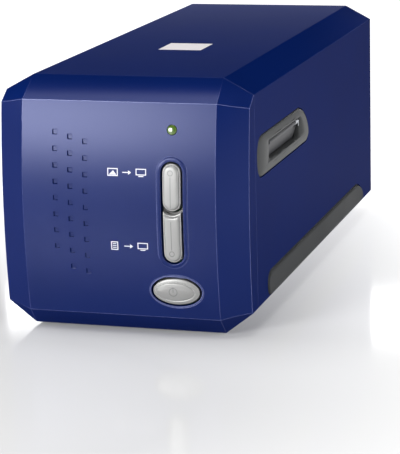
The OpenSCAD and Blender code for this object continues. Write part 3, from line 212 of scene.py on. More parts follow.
# Moulded grain: fine pits in the surface, and a slow change of tone and gloss over it.
grain, start, end = group_of(
    "moulded_grain",
    [("Colour", "Color", (0.5, 0.5, 0.5, 1)), ("Roughness", "Float", 0.4),
     ("Grain Size", "Float", 3000.0), ("Grain Depth", "Float", 0.1), ("Tone Change", "Float", 0.1)],
    [("Colour", "Color"), ("Roughness", "Float"), ("Normal", "Vector")])
where = node(grain, "TexCoord")
pits = node(grain, "TexNoise", Detail=3.0)
slow = node(grain, "TexNoise", Scale=28.0, Detail=2.0)
bump = node(grain, "Bump", Distance=0.00006)
darker = node(grain, "HueSaturation")
shade = node(grain, "MapRange", From_Min=0.3, From_Max=0.7)
change = start.outputs["Tone Change"]
link(grain,
     (where.outputs["Object"], pits.inputs["Vector"]),
     (start.outputs["Grain Size"], pits.inputs["Scale"]),
     (pits.outputs["Fac"], bump.inputs["Height"]),
     (start.outputs["Grain Depth"], bump.inputs["Strength"]),
     (bump.outputs["Normal"], end.inputs["Normal"]),
     (where.outputs["Object"], slow.inputs["Vector"]),
     (slow.outputs["Fac"], shade.inputs["Value"]),
     (math_of(grain, "SUBTRACT", 1.0, change), shade.inputs["To Min"]),
     (math_of(grain, "ADD", 1.0, change), shade.inputs["To Max"]),
     (shade.outputs["Result"], darker.inputs["Value"]),
     (start.outputs["Colour"], darker.inputs["Color"]),
     (darker.outputs["Color"], end.inputs["Colour"]),
     (math_of(grain, "MULTIPLY", shade.outputs["Result"], start.outputs["Roughness"]),
      end.inputs["Roughness"]))

# Painted edge highlight: a mask along a piece's edges, where their rounding would catch the lamps.
edges, start, end = group_of("painted_edge_highlight", [("Width", "Float", 0.0004)], [("Mask", "Float")])
around = node(edges, "Bevel", samples=4)
flat = node(edges, "NewGeometry")
compare = node(edges, "VectorMath", operation="DOT_PRODUCT")
fade = node(edges, "MapRange", From_Min=0.995, From_Max=0.93)
link(edges,
     (start.outputs["Width"], around.inputs["Radius"]),
     (around.outputs["Normal"], compare.inputs[0]),
     (flat.outputs["Normal"], compare.inputs[1]),
     (compare.outputs["Value"], fade.inputs["Value"]),
     (fade.outputs["Result"], end.inputs["Mask"]))


def moulded(name, colour, roughness, grain_size=3000.0, grain_depth=0.12, tone_change=0.06,
            specular=0.5):
    """A moulded plastic or rubber with its grain."""
    material, tree, shader = plain_material(name)
    surface = node(tree, "Group", (-500, 0), node_tree=grain)
    surface.inputs["Colour"].default_value = (*colour, 1)
    surface.inputs["Roughness"].default_value = roughness
    surface.inputs["Grain Size"].default_value = grain_size
    surface.inputs["Grain Depth"].default_value = grain_depth
    surface.inputs["Tone Change"].default_value = tone_change
    shader.inputs["Specular IOR Level"].default_value = specular
    link(tree,
         (surface.outputs["Colour"], shader.inputs["Base Color"]),
         (surface.outputs["Roughness"], shader.inputs["Roughness"]),
         (surface.outputs["Normal"], shader.inputs["Normal"]))
    return material


def tint(material, share, colour):
    """Mixes a colour into a material's own one by a share, an output or a number."""
    tree = material.node_tree
    base = tree.nodes["Principled BSDF"].inputs["Base Color"]
    mix = node(tree, "Mix", (-300, 200), data_type="RGBA")
    for index, value in ((0, share), (6, base.links[0].from_socket), (7, (*colour, 1))):
        feed(tree, mix.inputs[index], value)
    link(tree, (mix.outputs[2], base))


def paint_edge_highlight(material, share, colour):
    """Paints a pale highlight along a material's edges, by a share of a colour."""
    highlit_edges = node(material.node_tree, "Group", (-900, 200), node_tree=edges)
    tint(material, math_of(material.node_tree, "MULTIPLY", highlit_edges.outputs["Mask"], share), colour)


def navy(name):
    """The body's satin navy plastic."""
    material = moulded(name, (0.0010, 0.0100, 0.085), 0.33, tone_change=0.04, specular=0.0)
    shader = material.node_tree.nodes["Principled BSDF"]
    shader.inputs["Metallic"].default_value = 0.12
    shader.inputs["Specular Tint"].default_value = (0.04, 0.08, 0.45, 1)
    shader.inputs["Coat Weight"].default_value = 0.040
    shader.inputs["Coat IOR"].default_value = 4.0
    shader.inputs["Coat Roughness"].default_value = 0.29
    return material


# The nose's edges get a painted pale highlight, but not those of the dimples in their field.
edge_highlight_navy = (0.24, 0.27, 0.52)
nose_highlight_share = 0.8
field_middle = (-0.0225, 0, 0.061)
field_half = (0.0105, 0, 0.041)
field_fade = 0.002
nose_navy = navy("nose_navy")
tree = nose_navy.node_tree
coords = node(tree, "TexCoord", (-2000, 400))
off = node(tree, "VectorMath", (-1800, 400), operation="SUBTRACT")
off.inputs[1].default_value = field_middle
far = node(tree, "VectorMath", (-1600, 400), operation="ABSOLUTE")
past = node(tree, "VectorMath", (-1400, 400), operation="SUBTRACT")
past.inputs[1].default_value = field_half
split = node(tree, "SeparateXYZ", (-1200, 400))
outside = node(tree, "MapRange", (-1000, 400), From_Max=field_fade, To_Max=nose_highlight_share)
link(tree,
     (coords.outputs["Object"], off.inputs[0]),
     (off.outputs[0], far.inputs[0]),
     (far.outputs[0], past.inputs[0]),
     (past.outputs[0], split.inputs[0]),
     (math_of(tree, "MAXIMUM", split.outputs["X"], split.outputs["Z"]), outside.inputs["Value"]))
paint_edge_highlight(nose_navy, outside.outputs["Result"], edge_highlight_navy)


def cad_copy(source):
    """A CAD node's mesh as bmesh, welded and with its flat faces whole."""
    made = bmesh.new()
    made.from_mesh(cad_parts[source].data)
    bmesh.ops.remove_doubles(made, verts=made.verts, dist=2e-6)
    bmesh.ops.dissolve_limit(made, angle_limit=math.radians(0.6), verts=made.verts, edges=made.edges)
    return made


def soften(made, width, segments, chosen=None):
    """Rounds the sharp edges, or those whose middle is chosen, inside the piece's own box."""
    low = [min(v.co[k] for v in made.verts) for k in range(3)]
    high = [max(v.co[k] for v in made.verts) for k in range(3)]
    sharp_from = math.radians(28)
    picked = []
    for edge in made.edges:
        if len(edge.link_faces) == 2 and edge.calc_face_angle(0) > sharp_from:
            if not chosen or chosen((edge.verts[0].co + edge.verts[1].co) / 2):
                picked.append(edge)
    bmesh.ops.bevel(made, geom=picked, offset=width, offset_type="OFFSET", segments=segments,
                    profile=0.5, affect="EDGES", clamp_overlap=False, miter_outer="ARC")
    for vertex in made.verts:
        vertex.co = [min(max(vertex.co[k], low[k]), high[k]) for k in range(3)]


def piece(name, made, material, body, slot_name, *nodes, weighted=True, sharp=35):
    """Turns a bmesh into a finished piece that rides on a body and stands for CAD nodes."""
    mesh = bpy.data.meshes.new(name)
    bmesh.ops.recalc_face_normals(made, faces=made.faces)
    made.to_mesh(mesh)
    made.free()
    mesh.materials.append(material)
    mesh.shade_smooth()
    mesh.set_sharp_from_angle(angle=math.radians(sharp))
    made_object = bpy.data.objects.new(name, mesh)
    bpy.context.scene.collection.objects.link(made_object)
    if weighted:
        weights = made_object.modifiers.new("face_weights", "WEIGHTED_NORMAL")
        weights.keep_sharp = True
        weights.weight = 60
    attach(made_object, body)
    if nodes:
        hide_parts(*nodes)
    return made_object


# The panel's upright curve and the side bevels' outer edges, as in the CAD source.
half_width = 0.060
top_z = 0.119
top_bevel = 0.0205
side_bevel = 0.0085
face_side = 0.0134
face_crown = 0.054
face_radius = 0.268
edge_crown = 0.048
edge_radius = 0.480
panel_top = 0.1095
panel_half = half_width - face_side
seam_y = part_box("main_housing")[0].y
face_y = seam_y - top_bevel


def face_at(z):
    """The panel's depth at a height."""
    return face_y + (z - face_crown) ** 2 / (2 * face_radius)


def edge_at(z):
    """The depth of a side bevel's outer edge at a height."""
    return face_y + side_bevel + (z - edge_crown) ** 2 / (2 * edge_radius)


def nose_surface(x, z):
    """The depth and the outward direction of the panel or a side bevel at a place."""
    share = max(0.0, (abs(x) - panel_half) / face_side)
    slope_face = (z - face_crown) / face_radius
    slope_edge = (z - edge_crown) / edge_radius
    depth = (1 - share) * face_at(z) + share * edge_at(z)
    across = (edge_at(z) - face_at(z)) / face_side if share > 0 else 0.0
    up = (1 - share) * slope_face + share * slope_edge
    return depth, Vector((math.copysign(across, x), -1, up)).normalized()


dimples_side = -0.010
dimple_depth = 0.0007
dimple_round = 0.00018
controls_side = 0.010
controls_far = 0.042
controls_top = 0.103
rim_front = 0.0002
rim_round = 0.00045
rim_foot_round = 0.00022
shell_round = 0.00025
panel_reach = 0.00016
close_by = 0.0001
nose = cad_copy("front_bezel")
bmesh.ops.dissolve_degenerate(nose, dist=0.00003, edges=nose.edges)
soften(nose, dimple_round, 2, lambda p: (
    p.x < dimples_side and p.y < face_at(p.z) + dimple_depth + close_by))
soften(nose, rim_round, 4, lambda p: p.x > controls_side and p.y < face_at(p.z) - rim_front)
soften(nose, rim_foot_round, 2, lambda p: (
    controls_side < p.x < controls_far and p.z < controls_top
    and abs(p.y - face_at(p.z)) < panel_reach))
soften(nose, shell_round, 2, lambda p: abs(p.y - seam_y) < close_by)
front_moulding = piece("front_moulding", nose, nose_navy, "casing", "casing_blue",
                       "front_bezel", weighted=False, sharp=22)

# Its faces shade as smooth curves: the panel with the dimples' floors, the side bevels, and
# the top bevel, which is slightly crowned.
mesh = front_moulding.data
corner_ways = [Vector(corner.vector) for corner in mesh.corner_normals]
bevel_crown = 0.42
bevel_level = 0.1
bevel_reach = 0.0009
bevel_likeness = 0.98
panel_likeness = 0.995
floor_reach = 0.0002
slant_least = 0.4
slant_most = 0.95
seam_margin = 0.0005
hair = 0.00001


def turn_corners(polygon, way_at):
    """Gives each corner of a face the direction that is found for its place."""
    for corner in polygon.loop_indices:
        corner_ways[corner] = way_at(mesh.vertices[mesh.loops[corner].vertex_index].co)


def panel_way(p):
    """The panel's direction at a place."""
    return nose_surface(math.copysign(min(abs(p.x), panel_half), p.x), p.z)[1]


def side_bevel_way(p):
    """A side bevel's direction at a place."""
    return nose_surface(math.copysign(max(abs(p.x), panel_half + hair), p.x), p.z)[1]


def top_bevel_way(normal, p):
    """The crowned direction of a top bevel face at a place."""
    height = min(1.0, max(0.0, (p.z - panel_top) / (top_z - panel_top)))
    lean = Vector((normal.x, normal.y, 0)).normalized()
    tilt = bevel_crown * (bevel_level - height)
    return (normal + tilt * (lean - Vector((0, 0, 1)))).normalized()


for polygon in mesh.polygons:
    middle, normal = polygon.center, polygon.normal.copy()
    depth, outward = nose_surface(middle.x, middle.z)
    likeness = normal.dot(outward)
    below = middle.y - depth
    in_floor = abs(below - dimple_depth) < floor_reach and -normal.y > bevel_likeness
    in_top_bevel = middle.y < seam_y - seam_margin and slant_least < normal.z < slant_most
    if abs(middle.x) > panel_half and abs(below) < bevel_reach and likeness > bevel_likeness:
        turn_corners(polygon, side_bevel_way)
    elif abs(middle.x) <= panel_half and abs(below) < panel_reach and likeness > panel_likeness:
        turn_corners(polygon, panel_way)
    elif middle.x < dimples_side and in_floor:
        turn_corners(polygon, lambda p: nose_surface(p.x, p.z)[1])
    elif middle.z > panel_top and in_top_bevel:
        turn_corners(polygon, lambda p: top_bevel_way(normal, p))
mesh.normals_split_custom_set(corner_ways)

# ---- housing, base and rear panel -----------------------------------------------------
# The housing is one moulded tube without a floor, the base closes it from below with four
# screws, and the rear panel slides in ahead of the rims. All are the nose's navy plastic.
shell_navy = navy("shell_navy")
# The housing, base and rear panel get a faint painted highlight along their edges.
paint_edge_highlight(shell_navy, 0.12, edge_highlight_navy)
for name, source in (("housing", "main_housing"), ("base", "base_plate"), ("rear_plate", "rear_panel")):
    shell = cad_copy(source)
    soften(shell, shell_round, 2)
    piece(name, shell, shell_navy, "casing", "casing_blue", source)

# ---- side strips ----------------------------------------------------------------------
# A grey rubber bumper along each side, moulded in one and glued into its recess, with a
# sloped lower edge that follows the case joint, and a dark gap above it and at its ends.
strip_rubber = moulded("strip_rubber", (0.040, 0.042, 0.044), 0.60, grain_size=2200.0,
                       grain_depth=0.25, tone_change=0.08, specular=0.1)
strip_gap = 0.0006
strip_round = 0.00065
strip_seat = 0.0005
for side in ("right", "left"):
    strip = cad_copy("side_strip_" + side)
    low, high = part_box("side_strip_" + side)
    half_length = (high.y - low.y) / 2
    for vertex in strip.verts:
        if abs(vertex.co.x) > half_width - strip_seat:
            vertex.co.z -= strip_gap * (vertex.co.z - low.z) / (high.z - low.z)
            vertex.co.y -= strip_gap * (vertex.co.y - low.y - half_length) / half_length
    soften(strip, strip_round, 4, lambda p: abs(p.x) > half_width)
    piece(side + "_strip", strip, strip_rubber, "casing", "strip_grey", "side_strip_" + side)

# ---- rubber feet ----------------------------------------------------------------------
# Four round pads of black rubber that the scanner stands on. They are punched from sheet
# and stuck under the base.
foot_rubber = moulded("foot_rubber", (0.018, 0.018, 0.019), 0.75, grain_size=1500.0, grain_depth=0.4)
feet_round = 0.0002
feet = cad_copy("rubber_feet")
soften(feet, feet_round, 2)
piece("feet", feet, foot_rubber, "casing", "foot_rubber", "rubber_feet")

# ---- top label ------------------------------------------------------------------------
# A blank square of matt white film, cut to size and stuck into its shallow recess in the
# top of the housing.
label_film, tree, shader = plain_material("label_film")
fibres, label_tone = two_tones(tree, (0.70, 0.665, 0.68), (0.75, 0.71, 0.73), scale=900.0, detail=4.0)
lift = node(tree, "Bump", (-400, -250), Strength=0.1, Distance=0.00003)
link(tree,
     (label_tone, shader.inputs["Base Color"]),
     (fibres, lift.inputs["Height"]),
     (lift.outputs["Normal"], shader.inputs["Normal"]))
shader.inputs["Roughness"].default_value = 0.6
label_round = 0.00004
label = cad_copy("top_label")
soften(label, label_round, 1)
piece("label", label, label_film, "casing", "label_white", "top_label")

# ---- slot bezels ----------------------------------------------------------------------
# A grey satin surround on each side: a pillow that is sunk at its outer edge and swells
# towards the opening, longest at its front end. Its throat for the holder is painted near
# black, as painted shade deep in the slot.
bezel_plastic = moulded("bezel_plastic", (0.044, 0.046, 0.047), 0.45, grain_size=2600.0,
                        grain_depth=0.2, tone_change=0.05, specular=0.12)
# Near black for the faces deep in the slot: painted shade of the recess.
throat_painted_shade = moulded("throat_painted_shade", (0.006, 0.006, 0.007), 0.8, grain_size=5000.0,
                       grain_depth=0.5, tone_change=0.1, specular=0.1)
slot_y = face_y + 0.073
slot_half = 0.028
lip_z = 0.0766
slot_top = 0.0861
bezel_z = 0.081
bezel_half_length = 0.0495
bezel_half_height = 0.010
bezel_round = 0.009
bezel_least_round = 0.002
bezel_slope = 0.022
bezel_lean = 0.005
side_in = half_width - 0.0024
bezel_crown = half_width + 0.0007
bezel_sunk = 0.0004
bezel_fit = 0.00025
bezel_skin = 0.00005
bezel_squareness = 2.3
rear_squareness = 1.65
side_points = 8
mouth_points = 6
mouth_round = 0.0004
mouth_depth = 0.0011
front_sink = 0.0008
drop_length = 0.011
drop_depth = 0.0016
drop_from = half_width - 0.0006
throat_from = side_in - 0.0002
# The pillow's steps: in from its long sides, its front end and its rear end, and out of the side.
bezel_steps = [(bezel_fit, bezel_fit, bezel_fit, side_in - half_width),
               (0.0004, 0.0004, 0.0004, -2 * bezel_sunk),
               (0.00045, 0.0005, 0.00045, -bezel_sunk),
               (0.0006, 0.0007, 0.0006, -0.00012), (0.0011, 0.0018, 0.0012, 0.00008),
               (0.0018, 0.0036, 0.0024, 0.00028), (0.0026, 0.0062, 0.0042, 0.00044),
               (0.0033, 0.0100, 0.0070, 0.00058), (0.0038, 0.0150, 0.0100, 0.00066)]


def quarter(cy, cz, w, h, power, steps=10):
    """A quarter of a squared oval, from its level to its upright end."""
    return [(cy + w * math.cos(i * math.pi / 2 / steps) ** (2 / power),
             cz + h * math.sin(i * math.pi / 2 / steps) ** (2 / power)) for i in range(steps + 1)]


def spread(first, last, count):
    """Points between two points, without the ends."""
    return [(first[0] + (last[0] - first[0]) * i / (count + 1),
             first[1] + (last[1] - first[1]) * i / (count + 1)) for i in range(1, count + 1)]


def bezel_ring(inset, front_inset, rear_inset):
    """The bezel's outline, drawn in by an amount at its long sides and at its two ends."""
    up = bezel_half_height - inset
    front_y = slot_y - bezel_half_length + front_inset
    rear_y = slot_y + bezel_half_length - rear_inset
    wide = max(bezel_round - inset, bezel_least_round)
    slope = bezel_slope - rear_inset
    upper = quarter(rear_y - slope, bezel_z - bezel_lean, slope, up + bezel_lean,
                    rear_squareness)
    front_up = quarter(front_y + wide, bezel_z, -wide, up, bezel_squareness)[::-1]
    front_down = quarter(front_y + wide, bezel_z, -wide, -up, bezel_squareness)[1:]
    heel = quarter(rear_y - wide, bezel_z - bezel_lean, wide, bezel_lean - up,
                   bezel_squareness)[::-1][:-1]
    return (upper + spread(upper[-1], front_up[0], side_points) + front_up + front_down
            + spread(front_down[-1], heel[0], side_points) + heel)


def mouth_ring(grow):
    """The opening's outline, grown by an amount, with points along its sides."""
    y0, y1 = slot_y - slot_half - grow, slot_y + slot_half + grow
    z0, z1 = lip_z - grow, slot_top + grow
    corners = [(y1, z0), (y1, z1), (y0, z1), (y0, z0)]
    ring = []
    for first, last in zip(corners, corners[1:] + corners[:1]):
        ring += [first] + spread(first, last, mouth_points)
    return ring


def front_drop(y):
    """How far the pillow falls away towards its front end."""
    along = (y - (slot_y - bezel_half_length)) / drop_length
    return drop_depth * (1 - along) ** 2 if along < 1 else 0.0


def at_depth(ring, side, x):
    """A ring's points at a depth x on one side of the body."""
    return [(side * (x - front_drop(y) if x > drop_from else x), y, z) for y, z in ring]


def loft(made, rings, before=None):
    """Faces between rings of equally many points, from a first ring of vertices if given."""
    for points in rings:
        ring = [made.verts.new(point) for point in points]
        for i in range(len(ring) if before else 0):
            j = (i + 1) % len(ring)
            made.faces.new((before[i], before[j], ring[j], ring[i]))
        before = ring
    return before


for name, side in (("right", 1), ("left", -1)):
    bezel = cad_copy("slot_bezel_" + name)
    outside = [v for v in bezel.verts if abs(v.co.x) > half_width - bezel_sunk - bezel_skin]
    bmesh.ops.delete(bezel, geom=outside, context="VERTS")
    pillow = loft(bezel, [at_depth(bezel_ring(*insets), side, half_width + proud)
                          for *insets, proud in bezel_steps])
    mouth = loft(bezel, [at_depth(mouth_ring(mouth_round), side, bezel_crown)])
    for vertex in mouth:
        if vertex.co.y < slot_y - slot_half:
            vertex.co.x -= side * front_sink
    points = pillow + mouth
    for triangle in tessellate_polygon([[v.co.copy() for v in pillow], [v.co.copy() for v in mouth]]):
        bezel.faces.new([points[i] for i in triangle])
    loft(bezel, [at_depth(mouth_ring(0), side, x) for x in (bezel_crown - mouth_depth, side_in)], mouth)
    surround = piece(name + "_slot_bezel", bezel, bezel_plastic, "casing", "bezel_grey",
                     "slot_bezel_" + name, weighted=False, sharp=50)
    # Faces deep in the slot take the painted shade.
    surround.data.materials.append(throat_painted_shade)
    for polygon in surround.data.polygons:
        if abs(polygon.center.x) < throat_from:
            polygon.material_index = 1

# ---- scan buttons ---------------------------------------------------------------------
# Two silver-lacquered plastic keys under one rim: a low bright ledge around a raised face,
# with an engraved ring and guide line, whose groove is painted shade, and a painted highlight
# along the edges. The lower key is hollowed out under the upper one.


def engraved(name, colour, rings, bars, width):
    """Silver lacquer with a painted highlight on its edges, and rings (x, z, radius) and bars (x, z0, z1)
    painted dark as the shade of engraved grooves.
    """
    material = moulded(name, colour, 0.38, grain_size=5200.0, grain_depth=0.22, tone_change=0.03)
    # Pale painted highlights along the keys' edges, the ledge's among them.
    paint_edge_highlight(material, 0.6, (0.80, 0.80, 0.79))
    tree = material.node_tree
    coords = node(tree, "TexCoord", (-1800, -400))
    parts = node(tree, "SeparateXYZ", (-1600, -400))
    link(tree, (coords.outputs["Object"], parts.inputs["Vector"]))
    depths = []
    for x, z, radius in rings:
        dx = math_of(tree, "SUBTRACT", parts.outputs["X"], x)
        dz = math_of(tree, "SUBTRACT", parts.outputs["Z"], z)
        square = math_of(tree, "ADD", math_of(tree, "MULTIPLY", dx, dx), math_of(tree, "MULTIPLY", dz, dz))
        away = math_of(tree, "SUBTRACT", math_of(tree, "SQRT", square), radius)
        depths.append(math_of(tree, "ABSOLUTE", away))
    for x, z0, z1 in bars:
        beside = math_of(tree, "ABSOLUTE", math_of(tree, "SUBTRACT", parts.outputs["X"], x))
        above = math_of(tree, "ABSOLUTE", math_of(tree, "SUBTRACT", parts.outputs["Z"], (z0 + z1) / 2))
        depths.append(math_of(tree, "MAXIMUM", beside, math_of(tree, "SUBTRACT", above, (z1 - z0) / 2)))
    nearest = depths[0]
    for other in depths[1:]:
        nearest = math_of(tree, "MINIMUM", nearest, other)
    # The grooves are not modelled: the rings and bars are painted dark as their shade.
    cut = node(tree, "MapRange", (-900, -400), From_Min=width, From_Max=width / 2, To_Max=0.8)
    link(tree, (nearest, cut.inputs["Value"]))
    tint(material, cut.outputs["Result"], (0.10, 0.10, 0.11))
    tree.nodes["Principled BSDF"].inputs["Metallic"].default_value = 0.25
    return material


def ladder(half, low, high, columns=24, rows=14):
    """A grid of (x, z) points between a lower and an upper outline."""
    grid = []
    for i in range(columns + 1):
        x = half * math.sin(math.pi * (i / columns - 0.5))
        z0, z1 = low(x), high(x)
        grid.append([(x, z0 + (z1 - z0) * j / rows) for j in range(rows + 1)])
    return grid


def rim_of(grid):
    """The closed boundary of a grid of points."""
    return ([column[0] for column in grid] + grid[-1][1:]
            + [column[-1] for column in grid[-2::-1]] + grid[0][-2:0:-1])


def on_panel(points, proud):
    """Points (x, z) as places that stand proud of the panel."""
    return [(x, face_at(z) - proud, z) for x, z in points]


def key_form(outline, steps):
    """A key lofted from (inset, height) steps over the panel, and closed with a grid."""
    made = bmesh.new()
    loft(made, [on_panel(rim_of(outline(inset)), proud) for inset, proud in steps])
    inset, proud = steps[-1]
    cap = [[made.verts.new(place) for place in on_panel(column, proud)] for column in outline(inset)]
    for i in range(len(cap) - 1):
        for j in range(len(cap[0]) - 1):
            made.faces.new((cap[i][j], cap[i + 1][j], cap[i + 1][j + 1], cap[i][j + 1]))
    bmesh.ops.remove_doubles(made, verts=made.verts, dist=1e-6)
    return made


def add_back(made, source, depth):
    """Adds the hidden part of a key from its CAD node: all of it behind a depth."""
    back = cad_copy(source)
    bmesh.ops.bisect_plane(back, geom=back.verts[:] + back.edges[:] + back.faces[:], dist=1e-7,
                           plane_co=(0, depth, 0), plane_no=(0, -1, 0), clear_outer=True)
    mesh = bpy.data.meshes.new("back")
    back.to_mesh(mesh)
    back.free()
    made.from_mesh(mesh)
    bpy.data.meshes.remove(mesh)


button_x = 0.026
button_r = 0.0046
key_gap = 0.0013
buttons_z = 0.0365
lower_height = 0.0226
upper_height = 0.0224
keys_apart = 0.0014
upper_z0 = buttons_z + lower_height + keys_apart
upper_z1 = upper_z0 + upper_height
key_back = 0.0016
back_depth = face_y + key_back
# A key's steps, each in from its outline and up from the panel: flank, ledge, step, face.
key_steps = [(0.00034, -0.0020), (0.00034, 0.00016), (0.00040, 0.00040), (0.00052, 0.00048),
             (0.00078, 0.00046), (0.00084, 0.00052), (0.00098, 0.00084), (0.00118, 0.00128),
             (0.00140, 0.00154), (0.00165, 0.00166), (0.0021, 0.00172), (0.0028, 0.00174)]


def round_end(low, radius, x):
    """The height of a round lower end of a key, at a place across it."""
    return low + button_r - math.sqrt(max(radius * radius - x * x, 0))


def upper_outline(inset):
    """The upper key's outline: a bar with round ends."""
    r = button_r - inset
    return [[(button_x + x, z) for x, z in column] for column in ladder(
        r, lambda x: round_end(upper_z0, r, x),
        lambda x: upper_z0 + upper_z1 - round_end(upper_z0, r, x))]


def lower_outline(inset):
    """The lower key's outline: a round foot, and a hollow under the upper key."""
    r = button_r - inset
    hollow = button_r + key_gap + inset
    return [[(button_x + x, z) for x, z in column] for column in ladder(
        r, lambda x: round_end(buttons_z, r, x), lambda x: round_end(upper_z0, hollow, x))]


# Each key's engraving: a ring at its outer end, and a guide line between two heights.
mark_x = button_x - 0.0002
mark_r = 0.00115
mark_width = 0.00022
upper_ring_z = 0.0785
upper_line = (0.0628, 0.0765)
lower_ring_z = 0.0411
lower_line = (0.0430, 0.0560)
key_lacquer = engraved("key_lacquer", (0.275, 0.275, 0.27),
                       [(mark_x, upper_ring_z, mark_r), (mark_x, lower_ring_z, mark_r)],
                       [(mark_x, *upper_line), (mark_x, *lower_line)], mark_width)
for name, outline in (("upper", upper_outline), ("lower", lower_outline)):
    key = key_form(outline, key_steps)
    add_back(key, name + "_scan_button", back_depth)
    piece(name + "_key", key, key_lacquer, name + "_button", "button_silver",
          name + "_scan_button", sharp=50)

# ---- power button ---------------------------------------------------------------------
# An oval silver-lacquered plastic key: a wide sloping ledge, a thin step, and a slightly
# domed face with an engraved ring and bar, whose groove is painted shade; its edges have a
# painted highlight.
power_x = button_x + 0.0005
power_z = 0.0226
power_a = 0.0115
power_b = 0.0066
power_mark_x = power_x - 0.0012
power_mark_r = 0.0019
power_mark_top = power_z + 0.0022
power_mark_width = 0.0002
power_lacquer = engraved("power_lacquer", (0.265, 0.265, 0.26), [(power_mark_x, power_z, power_mark_r)],
                         [(power_mark_x, power_z, power_mark_top)], power_mark_width)
oval_count = 72
# Its steps: in from the outline, up from the panel, and sideways.
oval_steps = [(0.00036, -0.0020, 0), (0.00036, 0.0002, 0), (0.00044, 0.00042, 0), (0.0007, 0.00052, 0),
              (0.0012, 0.00070, -0.0002), (0.0017, 0.00082, -0.0004), (0.0019, 0.00084, -0.0005),
              (0.0020, 0.00070, -0.0005), (0.0022, 0.00078, -0.0005), (0.0024, 0.00108, -0.0005),
              (0.0028, 0.00124, -0.0005), (0.0036, 0.00140, -0.0004), (0.0046, 0.00154, -0.0003),
              (0.0056, 0.00164, -0.0002)]


def oval(centre_x, centre_z, half_x, half_z, count):
    """The (x, z) points of an oval."""
    angles = [2 * math.pi * i / count for i in range(count)]
    return [(centre_x + half_x * math.cos(angle), centre_z + half_z * math.sin(angle)) for angle in angles]


power = bmesh.new()
cap = loft(power, [
    on_panel(oval(power_x + shift, power_z, power_a - inset, power_b - inset, oval_count), proud)
    for inset, proud, shift in oval_steps])
half_count = oval_count // 2
power.faces.new((cap[0], cap[1], cap[-1]))
for i in range(1, half_count - 1):
    power.faces.new((cap[i], cap[i + 1], cap[-i - 1], cap[-i]))
power.faces.new((cap[half_count - 1], cap[half_count], cap[half_count + 1]))
add_back(power, "power_button", back_depth + key_back)
piece("power_key", power, power_lacquer, "power_key", "button_silver", "power_button", sharp=50)

# ---- status lens ----------------------------------------------------------------------
# A light pipe of clear yellow-green plastic with a turned edge, which sits in the panel in
# front of its diode.
lens_plastic, tree, shader = plain_material("lens_plastic")
lens_tone = two_tones(tree, (0.032, 0.080, 0.003), (0.070, 0.140, 0.005), scale=300.0)[1]
link(tree, (lens_tone, shader.inputs["Base Color"]))
shader.inputs["Roughness"].default_value = 0.22
shader.inputs["Coat Weight"].default_value = 1.0
shader.inputs["Coat Roughness"].default_value = 0.05
lens_z = 0.0976
lens_r = 0.0022
lens_back = 0.0012
lens_count = 40
# The dome's steps: its radius, and up from the panel.
lens_steps = [(lens_r, -0.0015), (lens_r, 0.00004), (0.00215, 0.00014), (0.0020, 0.00022),
              (0.00175, 0.00030), (0.0014, 0.00038), (0.0010, 0.00044), (0.0005, 0.00048)]
lens = bmesh.new()
lens.faces.new(loft(lens, [on_panel(oval(button_x, lens_z, radius, radius, lens_count), proud)
                           for radius, proud in lens_steps]))
add_back(lens, "status_lens", face_at(lens_z) + lens_back)
piece("status_light_pipe", lens, lens_plastic, "casing", "lens_green", "status_lens", weighted=False)

# ---- pictograms -----------------------------------------------------------------------
# Two rows of small white pad-printed signs beside the scan keys: a framed picture or a
# page, an arrow, and a screen.
sign_ink = moulded("sign_ink", (0.72, 0.72, 0.76), 0.5, grain_depth=0.05)
ink_up = 0.00002
line = 0.00042
picture_row = 0.0778
page_row = 0.0434
first_x = -0.0022
arrow_x = 0.0046
screen_x = 0.0114
picture_size = (0.0050, 0.0036)
hill_half = 0.0018
hill_foot = -0.0012
hill_top = (0.0002, 0.0008)
page_size = (0.0034, 0.0040)
page_lines = (-0.0010, -0.0001, 0.0008)
page_line_half = 0.0009
page_line = line * 0.8
arrow_half = 0.0021
shaft_end = arrow_half - 0.0010
tip_foot = arrow_half - 0.0014
tip_half = 0.0010
screen_size = (0.0050, 0.0030)
screen_up = 0.0004
stand_half = 0.0012
stand_down = 0.0018
signs = bmesh.new()


def patch(points):
    """A printed patch on the panel with (x, z) corners."""
    signs.faces.new([signs.verts.new(place) for place in on_panel(points, ink_up)])


def bar(x0, z0, x1, z1):
    """A printed bar between two corners."""
    patch([(x0, z0), (x1, z0), (x1, z1), (x0, z1)])


def frame_sign(x, z, w, h):
    """An outlined rectangle about a centre."""
    bar(x - w / 2, z - h / 2, x + w / 2, z - h / 2 + line)
    bar(x - w / 2, z + h / 2 - line, x + w / 2, z + h / 2)
    bar(x - w / 2, z - h / 2, x - w / 2 + line, z + h / 2)
    bar(x + w / 2 - line, z - h / 2, x + w / 2, z + h / 2)


def to_screen(z):
    """An arrow to a screen on its stand."""
    bar(arrow_x - arrow_half, z - line / 2, arrow_x + shaft_end, z + line / 2)
    patch([(arrow_x + tip_foot, z - tip_half), (arrow_x + arrow_half, z),
           (arrow_x + tip_foot, z + tip_half)])
    frame_sign(screen_x, z + screen_up, *screen_size)
    bar(screen_x - stand_half, z - stand_down, screen_x + stand_half, z - stand_down + line)


frame_sign(first_x, picture_row, *picture_size)
patch([(first_x - hill_half, picture_row + hill_foot), (first_x + hill_half, picture_row + hill_foot),
       (first_x + hill_top[0], picture_row + hill_top[1])])
frame_sign(first_x, page_row, *page_size)
for up in page_lines:
    bar(first_x - page_line_half, page_row + up, first_x + page_line_half, page_row + up + page_line)
for row in (picture_row, page_row):
    to_screen(row)
piece("printed_signs", signs, sign_ink, "casing", "label_white", weighted=False)

# ---- flaps, pins and springs ----------------------------------------------------------
# A grey plastic flap hangs in each opening on a drawn steel pin, closed by a torsion
# spring of darker wire.
flap_plastic = moulded("flap_plastic", (0.062, 0.063, 0.068), 0.5, grain_size=2600.0,
                       grain_depth=0.2, tone_change=0.05, specular=0.2)


